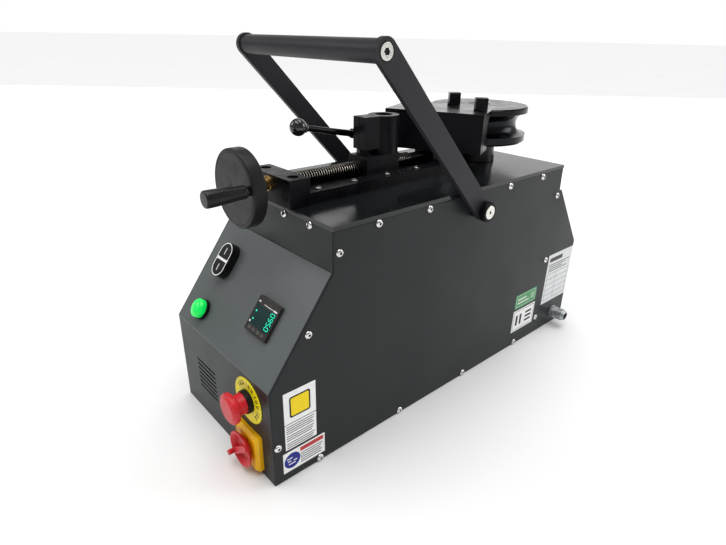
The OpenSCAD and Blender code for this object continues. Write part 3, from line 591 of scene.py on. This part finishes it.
def screw_heads(node, name, material, axis_of, radius, height, socket, shank):
    """Detailed screws at each solid of a CAD node as one piece, and a dark plug in each socket as another:
    painted shade for the dark inside of the sockets.
    """
    group, socket_shade_floors = bmesh.new(), bmesh.new()
    for index, (low, high) in enumerate(islands(node)):
        centre = (low + high) / 2
        axis = axis_of(low, high, centre)
        along = max(range(3), key=lambda i: abs(axis[i]))
        length = high[along] - low[along]
        centre[along] += axis[along] * (length / 2 - height)
        side = Vector((0, 0, 1)) if along < 2 else Vector((1, 0, 0))
        one = lathe(button_head(radius, height, socket, shank, length - height), 36)
        # A dark hexagon plug at the foot of each socket: painted shade.
        floor = lathe([(0, height * 0.2), (socket * 0.99, height * 0.2, 6), (socket * 0.99, height * 0.55, 6),
                       (0, height * 0.5)], 36)
        turn = placed(centre, side, axis) @ Matrix.Rotation(index * 0.65, 4, "Z")
        merge(group, one, turn)
        merge(socket_shade_floors, floor, turn)
    to_piece(socket_shade_floors, name + "_socket_shade", "dark_print_and_shade", "case")
    to_piece(group, name, material, "case", replaced=(node,))


def panel_axis(low, high, centre):
    size = high - low
    if size.y > size.x:
        return Vector((0, math.copysign(1, centre.y), 0))
    return Vector((math.copysign(1, centre.x), 0, 0))


def make_screws():
    screw_heads("panel_screws", "panel_screw_set", "zinc_screw", panel_axis,
                5.2 * MM, 3.0 * MM, 1.6 * MM, 2.5 * MM)
    # The keeper screws take the darker zinc: painted shade.
    screw_heads("keeper_screws", "keeper_screw_set", "keeper_zinc_shaded", lambda *_: Vector((0, 0, 1)),
                4.6 * MM, 2.6 * MM, 2.2 * MM, 2.5 * MM)


# ---------- feed ----------

def along_x(node):
    """A frame on a turned part's axis: local Z is +X and its origin is the low-x end."""
    low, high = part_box(node)
    mid = (low + high) / 2
    return placed((low.x, mid.y, mid.z), (0, 0, 1), (1, 0, 0))


def make_handwheel():
    low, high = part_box("handwheel")
    r = (high.z - low.z) / 2
    t, hub = 18.5 * MM, high.x - low.x
    face = [(0, 0.5), (7, 0.5), (7.6, 0.15), (9, 0.0)]
    profile = [(a * MM, b * MM) for a, b in face] + [
        (r - 5.2 * MM, 0), (r - 4.8 * MM, 0.4 * MM), (r - 4.3 * MM, 0.4 * MM), (r - 3.9 * MM, 0),
        (r - 2.6 * MM, 0), (r - 1.3 * MM, 0.35 * MM), (r - 0.4 * MM, 1.2 * MM), (r, 2.6 * MM),
        (r, t - 2.6 * MM), (r - 0.4 * MM, t - 1.2 * MM), (r - 1.3 * MM, t - 0.3 * MM), (r - 2.6 * MM, t),
        (r - 8.6 * MM, t), (r - 9.6 * MM, t - 0.8 * MM), (r - 11.5 * MM, t - 6 * MM),
        (21 * MM, t - 6 * MM), (18.6 * MM, t - 4.6 * MM), (17.2 * MM, t), (15.3 * MM, hub - 1 * MM),
        (14.4 * MM, hub), (6.4 * MM, hub), (6.1 * MM, hub - 0.4 * MM), (6.1 * MM, 5 * MM), (0, 5 * MM),
    ]
    wheel = lathe(profile, 128)
    place = along_x("handwheel")
    to_piece(wheel, "handwheel_turned", "wheel_black", "feed_screw", place,
             ("handwheel",))


def make_crank_grip():
    low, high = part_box("crank_grip")
    n = high.x - low.x
    r = (high.z - low.z) / 2
    profile = [
        (0, 0.15 * MM), (r * 0.80, 0), (r * 0.87, 0.1 * MM), (r * 0.955, 0.8 * MM), (r * 0.99, 2.0 * MM),
        (r, 4 * MM), (r * 0.985, 12 * MM), (r * 0.93, 22 * MM), (r * 0.86, 32 * MM), (r * 0.80, 40 * MM),
        (r * 0.78, n - 3 * MM), (r * 0.76, n - 1.2 * MM), (r * 0.70, n - 0.3 * MM), (r * 0.60, n),
        (4.3 * MM, n), (4.3 * MM, n - 2 * MM), (0, n - 2 * MM),
    ]
    to_piece(lathe(profile, 64), "crank_grip_turned", "black_plastic", "crank",
             along_x("crank_grip"), ("crank_grip",))


def threaded(radius, root, pitch, length, steps=40):
    """A closed single-start screw along local Z: one strip wound with a trapezoid section."""
    bm = bmesh.new()
    shape = [(0.0, root), (0.20, root), (0.34, radius), (0.58, radius), (0.72, root)]
    turns = int(math.ceil(length / pitch)) + 2
    rows = []
    for i in range(turns * steps + 1):
        a = 2 * math.pi * i / steps
        base = pitch * (i / steps - 1)
        rows.append(ring_of(bm, [(r * math.cos(a), r * math.sin(a), base + pitch * f) for f, r in shape]))
    count = len(shape)
    for i in range(len(rows) - 1):
        for k in range(count - 1):
            bm.faces.new([rows[i][k], rows[i + 1][k], rows[i + 1][k + 1], rows[i][k + 1]])
        if i + steps < len(rows) - 1:
            nxt = rows[i + steps]
            bm.faces.new([rows[i][-1], rows[i + 1][-1], rows[i + steps + 1][0], nxt[0]])
    for cut, way in ((0.0, -1), (length, 1)):
        geom = bm.verts[:] + bm.edges[:] + bm.faces[:]
        bmesh.ops.bisect_plane(bm, geom=geom, dist=1e-7, plane_co=(0, 0, cut), plane_no=(0, 0, way),
                               clear_outer=True)
        rim = [e for e in bm.edges if e.is_boundary
               and all(abs(v.co.z - cut) < 1e-6 for v in e.verts)]
        bmesh.ops.contextual_create(bm, geom=rim)
    bmesh.ops.recalc_face_normals(bm, faces=bm.faces)
    return bm


def make_lead_screw():
    """The threaded length with darker roots, and the plain shaft that runs on to the end block."""
    low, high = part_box("lead_screw")
    r, plain = (high.z - low.z) / 2, 6 * MM
    axis = (low + high) / 2
    block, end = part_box("bearing_block"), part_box("screw_end_block")
    crest = [v.co.x for v in frame["nodes"]["lead_screw"].data.vertices
             if math.hypot(v.co.y - axis.y, v.co.z - axis.z) > r - 0.1 * MM and v.co.x < end[0].x]
    start, stop = block[1].x + 0.5 * MM - low.x, max(crest) - low.x
    length = high.x - low.x
    place = along_x("lead_screw")
    thread = threaded(r, r - 2.1 * MM, 4 * MM, stop - start)
    bmesh.ops.translate(thread, verts=thread.verts, vec=(0, 0, start))
    merge(thread, lathe([(0, 0), (plain - 0.4 * MM, 0), (plain, 0.4 * MM), (plain, start), (0, start)], 48))
    obj = to_piece(thread, "lead_screw_threaded", "screw_steel", "feed_screw", place,
                   ("lead_screw",), math.radians(25))
    # The thread's roots get a much darker steel colour than its crests.
    obj.data.materials.append(MAT["thread_root"])
    for face in obj.data.polygons:
        if math.hypot(face.center.y - axis.y, face.center.z - axis.z) < r - 0.9 * MM:
            face.material_index = 1
    shaft = lathe([
        (0, stop), (plain, stop), (plain, length - 4 * MM), (plain + 1.7 * MM, length - 3.8 * MM),
        (plain + 2 * MM, length - 3.4 * MM), (plain + 2 * MM, length - 0.5 * MM),
        (plain + 1.5 * MM, length), (0, length)], 48)
    to_piece(shaft, "lead_screw_shaft", "hub_steel", "feed_screw", place)


def make_thrust_bush():
    """Bronze bush with a turned shoulder and an oil groove behind the handwheel."""
    low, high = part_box("thrust_bush")
    n = high.x - low.x
    bush = turned([
        (6.1, 0.3), (6.4, 0), (8.3, 0), (8.8, 0.5), (8.8, 3.1), (8.4, 3.5), (7.9, 3.6), (7.9, 4.6),
        (8.5, 4.8), (9.4, 5.0), (9.8, 5.5), (9.8, 8.9), (9.8, n / MM), (6.1, n / MM)])
    to_piece(bush, "thrust_bush_turned", "bronze", "case", along_x("thrust_bush"),
             ("thrust_bush",))


def make_lever_ball():
    """A polished ball with a moulded neck, on the lever's own line."""
    low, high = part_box("lever_ball")
    r = (high.y - low.y) / 2
    rise = math.radians(10.6)
    way = Vector((-math.cos(rise), 0, math.sin(rise)))
    centre = Vector((low.x + r, (low.y + high.y) / 2, high.z - r))
    profile = [(3.9 * MM, -13.4 * MM), (5.6 * MM, -13.5 * MM), (6.1 * MM, -12.2 * MM),
               (6.0 * MM, -10.6 * MM), (5.9 * MM, -9.9 * MM)]
    lift = math.asin(9.9 * MM / r)
    for i in range(1, 33):
        a = -lift + (math.pi / 2 + lift) * i / 32
        profile.append((r * math.cos(a), r * math.sin(a)))
    ball = lathe(profile[:-1] + [(0, r), (0, -9 * MM), (3.9 * MM, -9 * MM)], 64)
    to_piece(ball, "lever_ball_polished", "ball_plastic", "lever",
             placed(centre, (0, 1, 0), way), ("lever_ball",))


# ---------- carry handle ----------

def make_pivot_bolts():
    """Black pivot bolts with a bright disc let into each head."""
    low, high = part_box("pivot_bolts")
    mid = (low + high) / 2
    top = high.y
    r = (high.z - low.z) / 2
    dark, bright = bmesh.new(), bmesh.new()
    for side in (-1, 1):
        place = placed((mid.x, 0, mid.z), (0, 0, 1), (0, side, 0))
        head = lathe([
            (0, top - 43 * MM), (8 * MM, top - 43 * MM), (8 * MM, top - 10 * MM),
            (r - 1.4 * MM, top - 10 * MM), (r - 1.4 * MM, top - 8.6 * MM), (r, top - 8.2 * MM),
            (r, top - 1.4 * MM), (r - 0.5 * MM, top - 0.5 * MM), (r - 1.5 * MM, top - 0.1 * MM),
            (r - 2.4 * MM, top), (10.3 * MM, top), (10.0 * MM, top - 0.8 * MM), (0, top - 0.8 * MM),
        ], 64)
        cap = lathe([
            (0, top - 0.8 * MM), (9.7 * MM, top - 0.8 * MM), (9.7 * MM, top - 0.3 * MM),
            (9.3 * MM, top - 0.05 * MM), (5 * MM, top - 0.02 * MM), (2.6 * MM, top),
            (2.2 * MM, top - 0.2 * MM), (2.1 * MM, top - 0.7 * MM), (0, top - 0.75 * MM),
        ], 48)
        floor = lathe([(0, top - 0.8 * MM), (2.08 * MM, top - 0.8 * MM), (2.08 * MM, top - 0.45 * MM),
                       (0, top - 0.5 * MM)], 32)
        merge(dark, head, place)
        merge(dark, floor, place)
        merge(bright, cap, place)
    to_piece(dark, "pivot_bolt_heads", "black_steel", "case", replaced=("pivot_bolts",))
    to_piece(bright, "pivot_bolt_discs", "disc_nickel", "case")


def make_grip_screws():
    """Countersunk socket screws at the grip's ends, each in a dark rubber ring, with a dark plug at the foot
    of each socket as painted shade.
    """
    low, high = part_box("grip_screws")
    mid = (low + high) / 2
    top = high.y
    r = (high.z - low.z) / 2
    bright, dark = bmesh.new(), bmesh.new()
    for side in (-1, 1):
        place = placed((mid.x, 0, mid.z), (0.5, 0, 1), (0, side, 0))
        face = top - 0.3 * MM
        screw = lathe([
            (0, face - 30 * MM), (4 * MM, face - 30 * MM), (4 * MM, face - 6 * MM), (r, face - 0.8 * MM),
            (r, top - 0.15 * MM), (r - 0.25 * MM, top), (4.2 * MM, top), (3.6 * MM, top - 0.3 * MM, 6),
            (3.4 * MM, top - 2.8 * MM, 6), (0, top - 3.2 * MM),
        ], 48)
        ring = lathe([
            (r + 0.05 * MM, face - 0.5 * MM), (r + 2.1 * MM, face - 0.5 * MM),
            (r + 2.1 * MM, face + 0.05 * MM), (r + 1.6 * MM, face + 0.2 * MM),
            (r + 0.5 * MM, face + 0.2 * MM), (r + 0.05 * MM, face + 0.05 * MM),
        ], 48)
        # A dark hexagon plug at the foot of the socket: painted shade.
        floor = lathe([(0, face - 3 * MM), (3.35 * MM, face - 3 * MM, 6), (3.35 * MM, face - 0.9 * MM, 6),
                       (0, face - 1.2 * MM)], 48)
        merge(bright, screw, place)
        merge(dark, ring, place)
        merge(dark, floor, place)
    to_piece(bright, "grip_screw_set", "disc_nickel", "carry_handle",
             replaced=("grip_screws",))
    to_piece(dark, "grip_screw_rings_and_shade", "dark_plastic", "carry_handle")


# ---------- controls ----------

def slope_face(node):
    """A frame on a slope control's outer face: local X points to the near side, local Y up the slope."""
    low, high = span(node, SLOPE)
    centre = SLOPE @ Vector(((low.x + high.x) / 2, (low.y + high.y) / 2, high.z))
    return placed(centre, (0, -1, 0), (-slope_up.z, 0, slope_up.x))


def stadium(length, width, steps=16):
    """Outline of a stadium along local Y."""
    r, half = width / 2, (length - width) / 2
    top = [(r * math.cos(math.pi * i / steps), half + r * math.sin(math.pi * i / steps))
           for i in range(steps + 1)]
    return top + [(-x, -y) for x, y in top]


def flat_ring(outer, inner, low, high):
    """A flat ring between two outlines that have the same number of points."""
    bm = bmesh.new()
    loops = [ring_of(bm, [(x, y, z) for x, y in line])
             for line, z in ((outer, low), (outer, high), (inner, high), (inner, low))]
    count = len(outer)
    for one, two in zip(loops, loops[1:] + loops[:1]):
        for i in range(count):
            j = (i + 1) % count
            bm.faces.new([one[i], one[j], two[j], two[i]])
    bmesh.ops.recalc_face_normals(bm, faces=bm.faces)
    return bm


def loft(loops):
    """A closed solid through (outline, height) loops with the same number of points."""
    bm = bmesh.new()
    rows = [ring_of(bm, [(x, y, z) for x, y in line]) for line, z in loops]
    count = len(rows[0])
    for one, two in zip(rows, rows[1:]):
        for i in range(count):
            j = (i + 1) % count
            bm.faces.new([one[i], one[j], two[j], two[i]])
    bm.faces.new(rows[0])
    bm.faces.new(rows[-1])
    bmesh.ops.recalc_face_normals(bm, faces=bm.faces)
    return bm


SEGMENTS = {
    "a": (0, 2, 1, 2), "b": (1, 1, 1, 2), "c": (1, 0, 1, 1), "d": (0, 0, 1, 0),
    "e": (0, 0, 0, 1), "f": (0, 1, 0, 2), "g": (0, 1, 1, 1),
}
DIGITS = {"0": "abcdef", "5": "acdfg", "9": "abcdfg"}


def digit(bm, symbol, x, y, width, height, thick, z):
    """Adds a seven-segment digit, with its lower left corner at x, y."""
    for key in DIGITS[symbol]:
        x0, y0, x1, y1 = SEGMENTS[key]
        ax, ay = x + x0 * width, y + y0 * height / 2
        bx, by = x + x1 * width, y + y1 * height / 2
        gap = thick * 0.55
        if y0 == y1:
            box = (ax + gap, ay - thick / 2, bx - gap, ay + thick / 2)
        else:
            box = (ax - thick / 2, ay + gap, ax + thick / 2, by - gap)
        merge(bm, slab(rounded_rect(*box, thick * 0.3, 2), z, z + 0.00005))


def make_counter():
    """Panel counter: bezel with a raised lip, tinted window, lit digits, lamps, marks and keys."""
    place = slope_face("counter")
    low, high = span("counter", SLOPE)
    half, depth = (high.y - low.y) / 2, 5
    rim = [(0, 1.5, -depth), (0, 1.5, -0.7), (0.25, 1.4, -0.2), (0.8, 1.2, 0), (1.9, 1.0, 0),
           (2.3, 1.0, -0.6)]
    body = loft([(square(half - inset * MM, corner * MM), z * MM) for inset, corner, z in rim])
    merge(body, slab(square(22.5 * MM, 1 * MM), -65 * MM, -depth * MM))
    to_piece(body, "counter_bezel", "counter_face", "case", place, ("counter",))
    pane = rounded_rect(-20.6 * MM, -14.6 * MM, 21.4 * MM, 12.2 * MM, 1.2 * MM)
    window = slab(pane, -0.6 * MM, -0.35 * MM, 0.1 * MM)
    to_piece(window, "counter_window", "tinted_glass", "case", place)
    lit = bmesh.new()
    for i, symbol in enumerate("0950"):
        digit(lit, symbol, (-11.2 + i * 6.1) * MM, 11.4 * MM, 3.9 * MM, 8.0 * MM, 0.85 * MM, -0.34 * MM)
    # The readout is turned a quarter, so that it reads down the slope.
    bmesh.ops.transform(lit, verts=lit.verts, matrix=Matrix.Rotation(math.radians(-90), 4, "Z"))
    for x, y in ((-17.2, 3.4), (-16.4, -7.2)):
        merge(lit, slab(disc(x * MM, y * MM, 1.2 * MM, 20), -0.34 * MM, -0.28 * MM))
    to_piece(lit, "counter_digits", "digit_glow", "case", place)
    marks = slabs(in_mm([
        (-21.2, 15.2, -16.8, 17.0), (-8.0, 14.6, 12.0, 15.3), (13.0, 14.0, 20.4, 15.9),
        (-21.2, -12.8, -18.6, -10.4)]), -0.34 * MM, -0.29 * MM)
    to_piece(marks, "counter_marks", "white_print", "case", place)
    keys = bmesh.new()
    for i in range(4):
        x = (-18 + i * 9.6) * MM
        foot = rounded_rect(x, -20.8 * MM, x + 7 * MM, -16.4 * MM, 1 * MM)
        top = rounded_rect(x + 0.3 * MM, -20.5 * MM, x + 6.7 * MM, -16.7 * MM, 0.8 * MM)
        key = loft([(foot, -0.6 * MM), (foot, -0.25 * MM), (top, -0.05 * MM)])
        merge(keys, key)
    to_piece(keys, "counter_keys", "grey_key", "case", place)


def make_button_marks():
    """White rim and cross bar on the double button's housing, and a bar on each half."""
    place = slope_face("button_housing")
    ring = flat_ring(stadium(49.6 * MM, 28.6 * MM), stadium(46.8 * MM, 25.8 * MM), -0.1 * MM, 0.05 * MM)
    bar = slab(in_mm([(-12.8, -2.3), (-9, -1.75), (9, -1.75), (12.8, -2.3),
                      (12.8, 2.3), (9, 1.75), (-9, 1.75), (-12.8, 2.3)]), -0.1 * MM, 0.05 * MM)
    merge(ring, bar)
    to_piece(ring, "button_rim_line", "white_print", "case", place)
    for node, body in (("start_button", "start"), ("stop_button", "stop")):
        tick = slabs([(-0.7 * MM, -5.0 * MM, 0.7 * MM, 5.0 * MM)], -0.05 * MM, 0.05 * MM, 0.0004)
        to_piece(tick, node + "_bar", "white_print", body, slope_face(node))


def make_pilot_lamp():
    low, high = span("pilot_lamp", SLOPE)
    centre = SLOPE @ Vector(((low.x + high.x) / 2, (low.y + high.y) / 2, 0))
    place = placed(centre, (0, -1, 0), (-slope_up.z, 0, slope_up.x))
    bezel = turned([
        (0, -40), (10.9, -40), (10.9, 0), (14.5, 0), (14.8, 0.4), (14.8, 4.6), (14.5, 5.2), (13.9, 5.4),
        (13.5, 5.2), (13.4, 3.0), (0, 3.0)])
    to_piece(bezel, "lamp_bezel", "dark_plastic", "case", place, ("pilot_lamp",))
    lens = turned([
        (0, 3.0), (13.35, 3.0), (13.35, 10.2), (13.1, 11.2), (12.5, 11.9), (11.6, 12.2), (11.1, 11.9),
        (10.7, 12.2), (10.0, 12.9), (8.4, 13.8), (6.2, 14.5), (3.2, 14.9), (0, 15.0)], 96)
    to_piece(lens, "lamp_lens", "green_lens", "case", place)


def front_face(node):
    """A frame on the front panel behind a control: local X points to the near side and local Y up."""
    low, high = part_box(node)
    mid = (low + high) / 2
    return placed((front_x, mid.y, mid.z), (0, -1, 0), (-1, 0, 0))


def make_estop():
    """Emergency stop: yellow ring with marks, dark collar and red mushroom head."""
    place = front_face("estop_base")
    plate = turned([
        (15.1, 0), (31.0, 0), (31.5, 0.3), (31.5, 0.8), (31.1, 1.15), (30.4, 1.2), (29.8, 1.0), (17.2, 0.8),
        (16.4, 1.1), (15.1, 1.15)], 96)
    to_piece(plate, "estop_ring", "estop_yellow", "case", place, ("estop_base",))
    collar = turned([
        (0, -45), (10.9, -45), (10.9, 0), (15.3, 0), (15.6, 0.4), (15.6, 6.8), (15.3, 7.7), (14.8, 8.0),
        (14.3, 7.9), (14.1, 7.5), (14.1, 2.2), (8.1, 2.2), (8.1, -12), (0, -12)])
    to_piece(collar, "estop_collar", "dark_plastic", "case", place)
    marks = bmesh.new()
    mark_radius, half_w, half_h, bar = 24.2 * MM, 1.9 * MM, 3.0 * MM, 1.3 * MM
    for i in range(12):
        a = math.radians(148 - i * 17.5)
        turn = placed((mark_radius * math.cos(a), mark_radius * math.sin(a), 0.86 * MM),
                      (-math.sin(a), math.cos(a), 0), (0, 0, 1))
        boxes = [(-half_w, -half_h, -half_w + bar, half_h)]
        if i % 3:
            boxes += [(-half_w, half_h - bar, half_w, half_h), (half_w - bar, -half_h, half_w, half_h)]
        merge(marks, slabs(boxes, 0, 0.12 * MM), turn)
    to_piece(marks, "estop_ring_marks", "dark_print_and_shade", "case", place)
    head = turned([
        (0, 10), (4.9, 10), (4.9, 23.4), (8.3, 23.4), (8.3, 8.1), (13.5, 8.1), (13.8, 8.5), (13.5, 13),
        (13.2, 17.5), (13.6, 19.2), (14.8, 20.4), (17.2, 20.9), (19.3, 21.3), (20.0, 21.9), (20.3, 22.9),
        (20.4, 26.2), (20.2, 27.6), (19.6, 28.7), (18.7, 29.3), (17.9, 29.4), (17.3, 29.2), (16.7, 29.5),
        (16.2, 30.4), (15.5, 30.7), (10.0, 30.9), (5.0, 31.0), (0, 31.0)], 96)
    to_piece(head, "estop_mushroom", "red_plastic", "estop_cap", place, ("estop_head",))


def make_main_switch():
    """Yellow moulded plate of the main switch, with its marks. The knob keeps its CAD shape."""
    place = front_face("switch_plate")
    steps = [(27.5, 3.0, 0.0), (27.5, 3.0, 4.6), (27.1, 2.8, 5.2), (24.3, 2.4, 8.9), (23.6, 2.2, 9.4),
             (22.8, 2.0, 9.5), (21.9, 1.8, 9.5), (21.5, 1.7, 9.0)]
    plate = loft([(square(half * MM, corner * MM), z * MM) for half, corner, z in steps])
    merge(plate, turned([(0, -50), (11, -50), (11, 0), (0, 0)], 32))
    to_piece(plate, "switch_plate_moulded", "yellow_plastic", "case", place,
             ("switch_plate",))
    marks = slabs(in_mm([
        (-12.6, 19.8, -10.0, 21.0), (-12.6, 19.8, -11.4, 23.0), (-8.8, 17.6, -7.6, 21.0),
        (-8.8, 17.6, -5.8, 18.8), (2.8, 12.8, 6.4, 14.2), (2.8, 12.8, 4.2, 16.4), (5.2, 12.8, 6.4, 16.4),
    ]), 8.95 * MM, 9.15 * MM, 0.3 * MM)
    to_piece(marks, "switch_plate_marks", "brown_print", "case", place)


def make_gland():
    """Cable gland: flange nut, hexagon body, ribbed cap and a rubber seal in its mouth."""
    low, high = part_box("mains_gland")
    mid = (low + high) / 2
    place = placed((mid.x, near_y, mid.z), (0, 0, 1), (0, -1, 0))
    body = turned([
        (6.6, -18), (8.0, -18), (8.0, 0), (11.8, 0), (12.0, 0.4), (12.0, 2.6), (11.6, 3.0), (9.4, 3.1),
        (9.4, 3.6), (10.9, 3.8, 6), (10.9, 9.6, 6), (9.3, 10.0), (9.3, 12.6), (9.9, 13.0), (10.6, 13.4),
        (10.6, 24.6), (10.3, 25.8), (9.6, 26.6), (9.0, 27.0), (8.8, 29.4), (8.4, 29.9), (6.9, 30.0),
        (6.6, 29.4), (6.6, 16)], 72)
    to_piece(body, "gland_body", "gland_plastic", "case", place, ("mains_gland",))
    ribs, count = bmesh.new(), 18
    section = rounded_rect(10.4 * MM, -0.55 * MM, 11.15 * MM, 0.55 * MM, 0.0002, 2)
    for i in range(count):
        turn = Matrix.Rotation(2 * math.pi * i / count, 4, "Z")
        merge(ribs, slab(section, 14.2 * MM, 24.2 * MM, 0.15 * MM), turn)
    to_piece(ribs, "gland_cap_ribs", "gland_plastic", "case", place)
    seal = turned([(5.6, 17), (6.55, 17), (6.55, 28.6), (6.2, 29.0), (5.9, 28.6)], 48)
    to_piece(seal, "gland_seal", "dark_plastic", "case", place)


# ---------- labels on the near side ----------

def label(name, box, material, lift=0.12, radius=1.0):
    """A thin plate stuck to the near side. The box is x0, z0, x1, z1 in mm from the front and the base."""
    x0, z0, x1, z1 = in_mm([box])[0]
    plate = slab(rounded_rect(x0, z0, x1, z1, radius * MM, 4), -0.05 * MM, lift * MM)
    to_piece(plate, name, material, "case", NEAR)


def print_bars(name, boxes, material, lift=0.16):
    """Thin printed bars in the same mm as the labels."""
    made = slabs(in_mm(boxes), 0.0, lift * MM, 0.0002)
    to_piece(made, name, material, "case", NEAR)


def text_rows(x0, x1, z_top, rows, pitch, height, ragged=3.0):
    """Boxes that stand for lines of small print, with uneven ends."""
    boxes = []
    for i in range(rows):
        end = x1 - ragged * ((i * 7) % 5) / 4
        top = z_top - i * pitch
        boxes.append((x0, top - height, end, top))
    return boxes


def frame_bars(x0, z0, x1, z1, width):
    return [(x0, z0, x1, z0 + width), (x0, z1 - width, x1, z1),
            (x0, z0, x0 + width, z1), (x1 - width, z0, x1, z1)]


def make_labels():
    """Five generic labels: bars stand for their print, a square and a disc for their signs."""
    label("tall_label", (17, 47.5, 66, 135.5), "white_label")
    print_bars("tall_label_frame", frame_bars(17, 47.5, 66, 135.5, 0.7) + [(17, 87, 66, 88)], "dark_print_and_shade")
    label("tall_label_square", (26, 95.5, 57, 126.5), "dark_print_and_shade", 0.17, 3)
    label("tall_label_panel", (28.2, 97.7, 54.8, 124.3), "yellow_label", 0.22, 2)
    rows = text_rows(20, 62, 84, 4, 3.3, 1.3) + text_rows(20, 61, 69.5, 3, 3.3, 1.3)
    print_bars("tall_label_print", rows + text_rows(20, 62, 58, 3, 3.3, 1.3), "grey_print")

    label("wide_label", (13, 12.5, 78, 44.5), "white_label")
    blue = slab(disc(26.6 * MM, 28.5 * MM, 12 * MM, 48), -0.02 * MM, 0.17 * MM)
    to_piece(blue, "wide_label_disc", "blue_print", "case", NEAR)
    print_bars("wide_label_disc_bars", [(18.5, 32.0, 27, 33.6), (19.5, 27.8, 24.5, 29.4),
                                        (28.5, 26.4, 33.5, 28.0), (21, 22.8, 31, 24.4)], "white_print", 0.21)
    print_bars("wide_label_header", [(39, 35.5, 75.5, 42)], "red_print")
    print_bars("wide_label_print", text_rows(39, 74, 32.5, 5, 3.6, 1.3), "grey_print")

    label("rating_plate", (598, 55.5, 683, 157.5), "silver_label")
    rows = [(604, 142, 648, 150)] + text_rows(604, 676, 136, 4, 4.2, 1.5, 24)
    rows += frame_bars(603, 62, 678, 117, 0.6) + [(603, 72.5 + i * 11, 678, 73.1 + i * 11) for i in range(4)]
    rows += [(634, 62, 634.6, 117)]
    print_bars("rating_plate_print", rows, "grey_print")

    label("green_label", (506, 76.5, 572, 104.5), "green_label", radius=2.0)
    rows = frame_bars(508.5, 79, 569.5, 102, 0.8) + [(513, 92, 540, 95.5), (513, 85, 549, 88)]
    rows += [(554, z, 565, z + 1.6) for z in (86, 94, 90)]
    print_bars("green_label_print", rows, "pale_print")

    label("white_plate", (505, 28.5, 574, 72.5), "white_label")
    rows = frame_bars(507.5, 31, 571.5, 70, 0.8) + [(x, 40, x + 6, 61) for x in (515, 527)]
    rows += [(545, z, 564, z + 4) for z in (40, 48.5, 57)]
    print_bars("white_plate_print", rows, "dark_print_and_shade")


soften_machined_parts()
make_side_panels()
make_screws()
make_handwheel()
make_crank_grip()
make_lead_screw()
make_thrust_bush()
make_lever_ball()
make_pivot_bolts()
make_grip_screws()
make_counter()
make_button_marks()
make_pilot_lamp()
make_estop()
make_main_switch()
make_gland()
make_labels()


# ---------- stage ----------

def area_light(name, at, towards, size, watts):
    data = bpy.data.lights.new(name, "AREA")
    data.shape = "RECTANGLE"
    data.size, data.size_y = size
    data.energy = watts
    obj = add_object(name, data)
    obj.location = at
    way = (Vector(towards) - Vector(at)).normalized()
    obj.rotation_euler = way.to_track_quat("-Z", "Y").to_euler()
    obj.visible_camera = False


def make_stage():
    """A wide pale floor under an even white sky, with a soft ceiling light and large soft boxes."""
    reach = 60.0
    bm = bmesh.new()
    bm.faces.new(ring_of(bm, [(x, y, 0) for x, y in disc(0, 0, reach, 96)]))
    mesh = bpy.data.meshes.new("floor")
    bm.to_mesh(mesh)
    bm.free()
    floor = add_object("floor", mesh)
    n = Nodes("pale_floor")
    n.link(n.mix(n.fit(n.noise(1.5), 0.0, 1.0), (0.86, 0.86, 0.86), (0.88, 0.88, 0.88)),
           n.shader.inputs["Base Color"])
    n.shader.inputs["Roughness"].default_value = 0.9
    n.shader.inputs["Specular IOR Level"].default_value = 0.1
    mesh.materials.append(n.material)

    # The sky lights the object softly, and is seen as plain white behind it.
    world = bpy.data.worlds.new("studio")
    bpy.context.scene.world = world
    world.use_nodes = True
    tree = world.node_tree
    sky = tree.nodes["Background"]
    sky.inputs["Strength"].default_value = 0.30
    seen = tree.nodes.new("ShaderNodeBackground")
    seen.inputs["Strength"].default_value = 1.0
    for shown in (sky, seen):
        shown.inputs["Color"].default_value = (1, 1, 1, 1)
    ray = tree.nodes.new("ShaderNodeLightPath")
    choice = tree.nodes.new("ShaderNodeMixShader")
    tree.links.new(ray.outputs["Is Camera Ray"], choice.inputs["Fac"])
    tree.links.new(sky.outputs["Background"], choice.inputs[1])
    tree.links.new(seen.outputs["Background"], choice.inputs[2])
    tree.links.new(choice.outputs["Shader"], tree.nodes["World Output"].inputs["Surface"])

    ceiling = bpy.data.lights.new("ceiling", "SUN")
    ceiling.energy = 2.45
    ceiling.angle = math.radians(60)
    add_object("ceiling", ceiling)
    area_light("side_box", (2.4, -1.7, 1.5), (0.2, -0.1, 0.2), (1.4, 1.4), 24)
    area_light("left_box", (-1.9, 1.9, 1.9), (-0.2, 0, 0.2), (1.4, 1.4), 16)
    area_light("back_panel", (3.0, 3.35, 1.75), (0, 0, 1.75), (7.0, 3.5), 56)
    bpy.context.scene.view_settings.view_transform = "Standard"


make_stage()
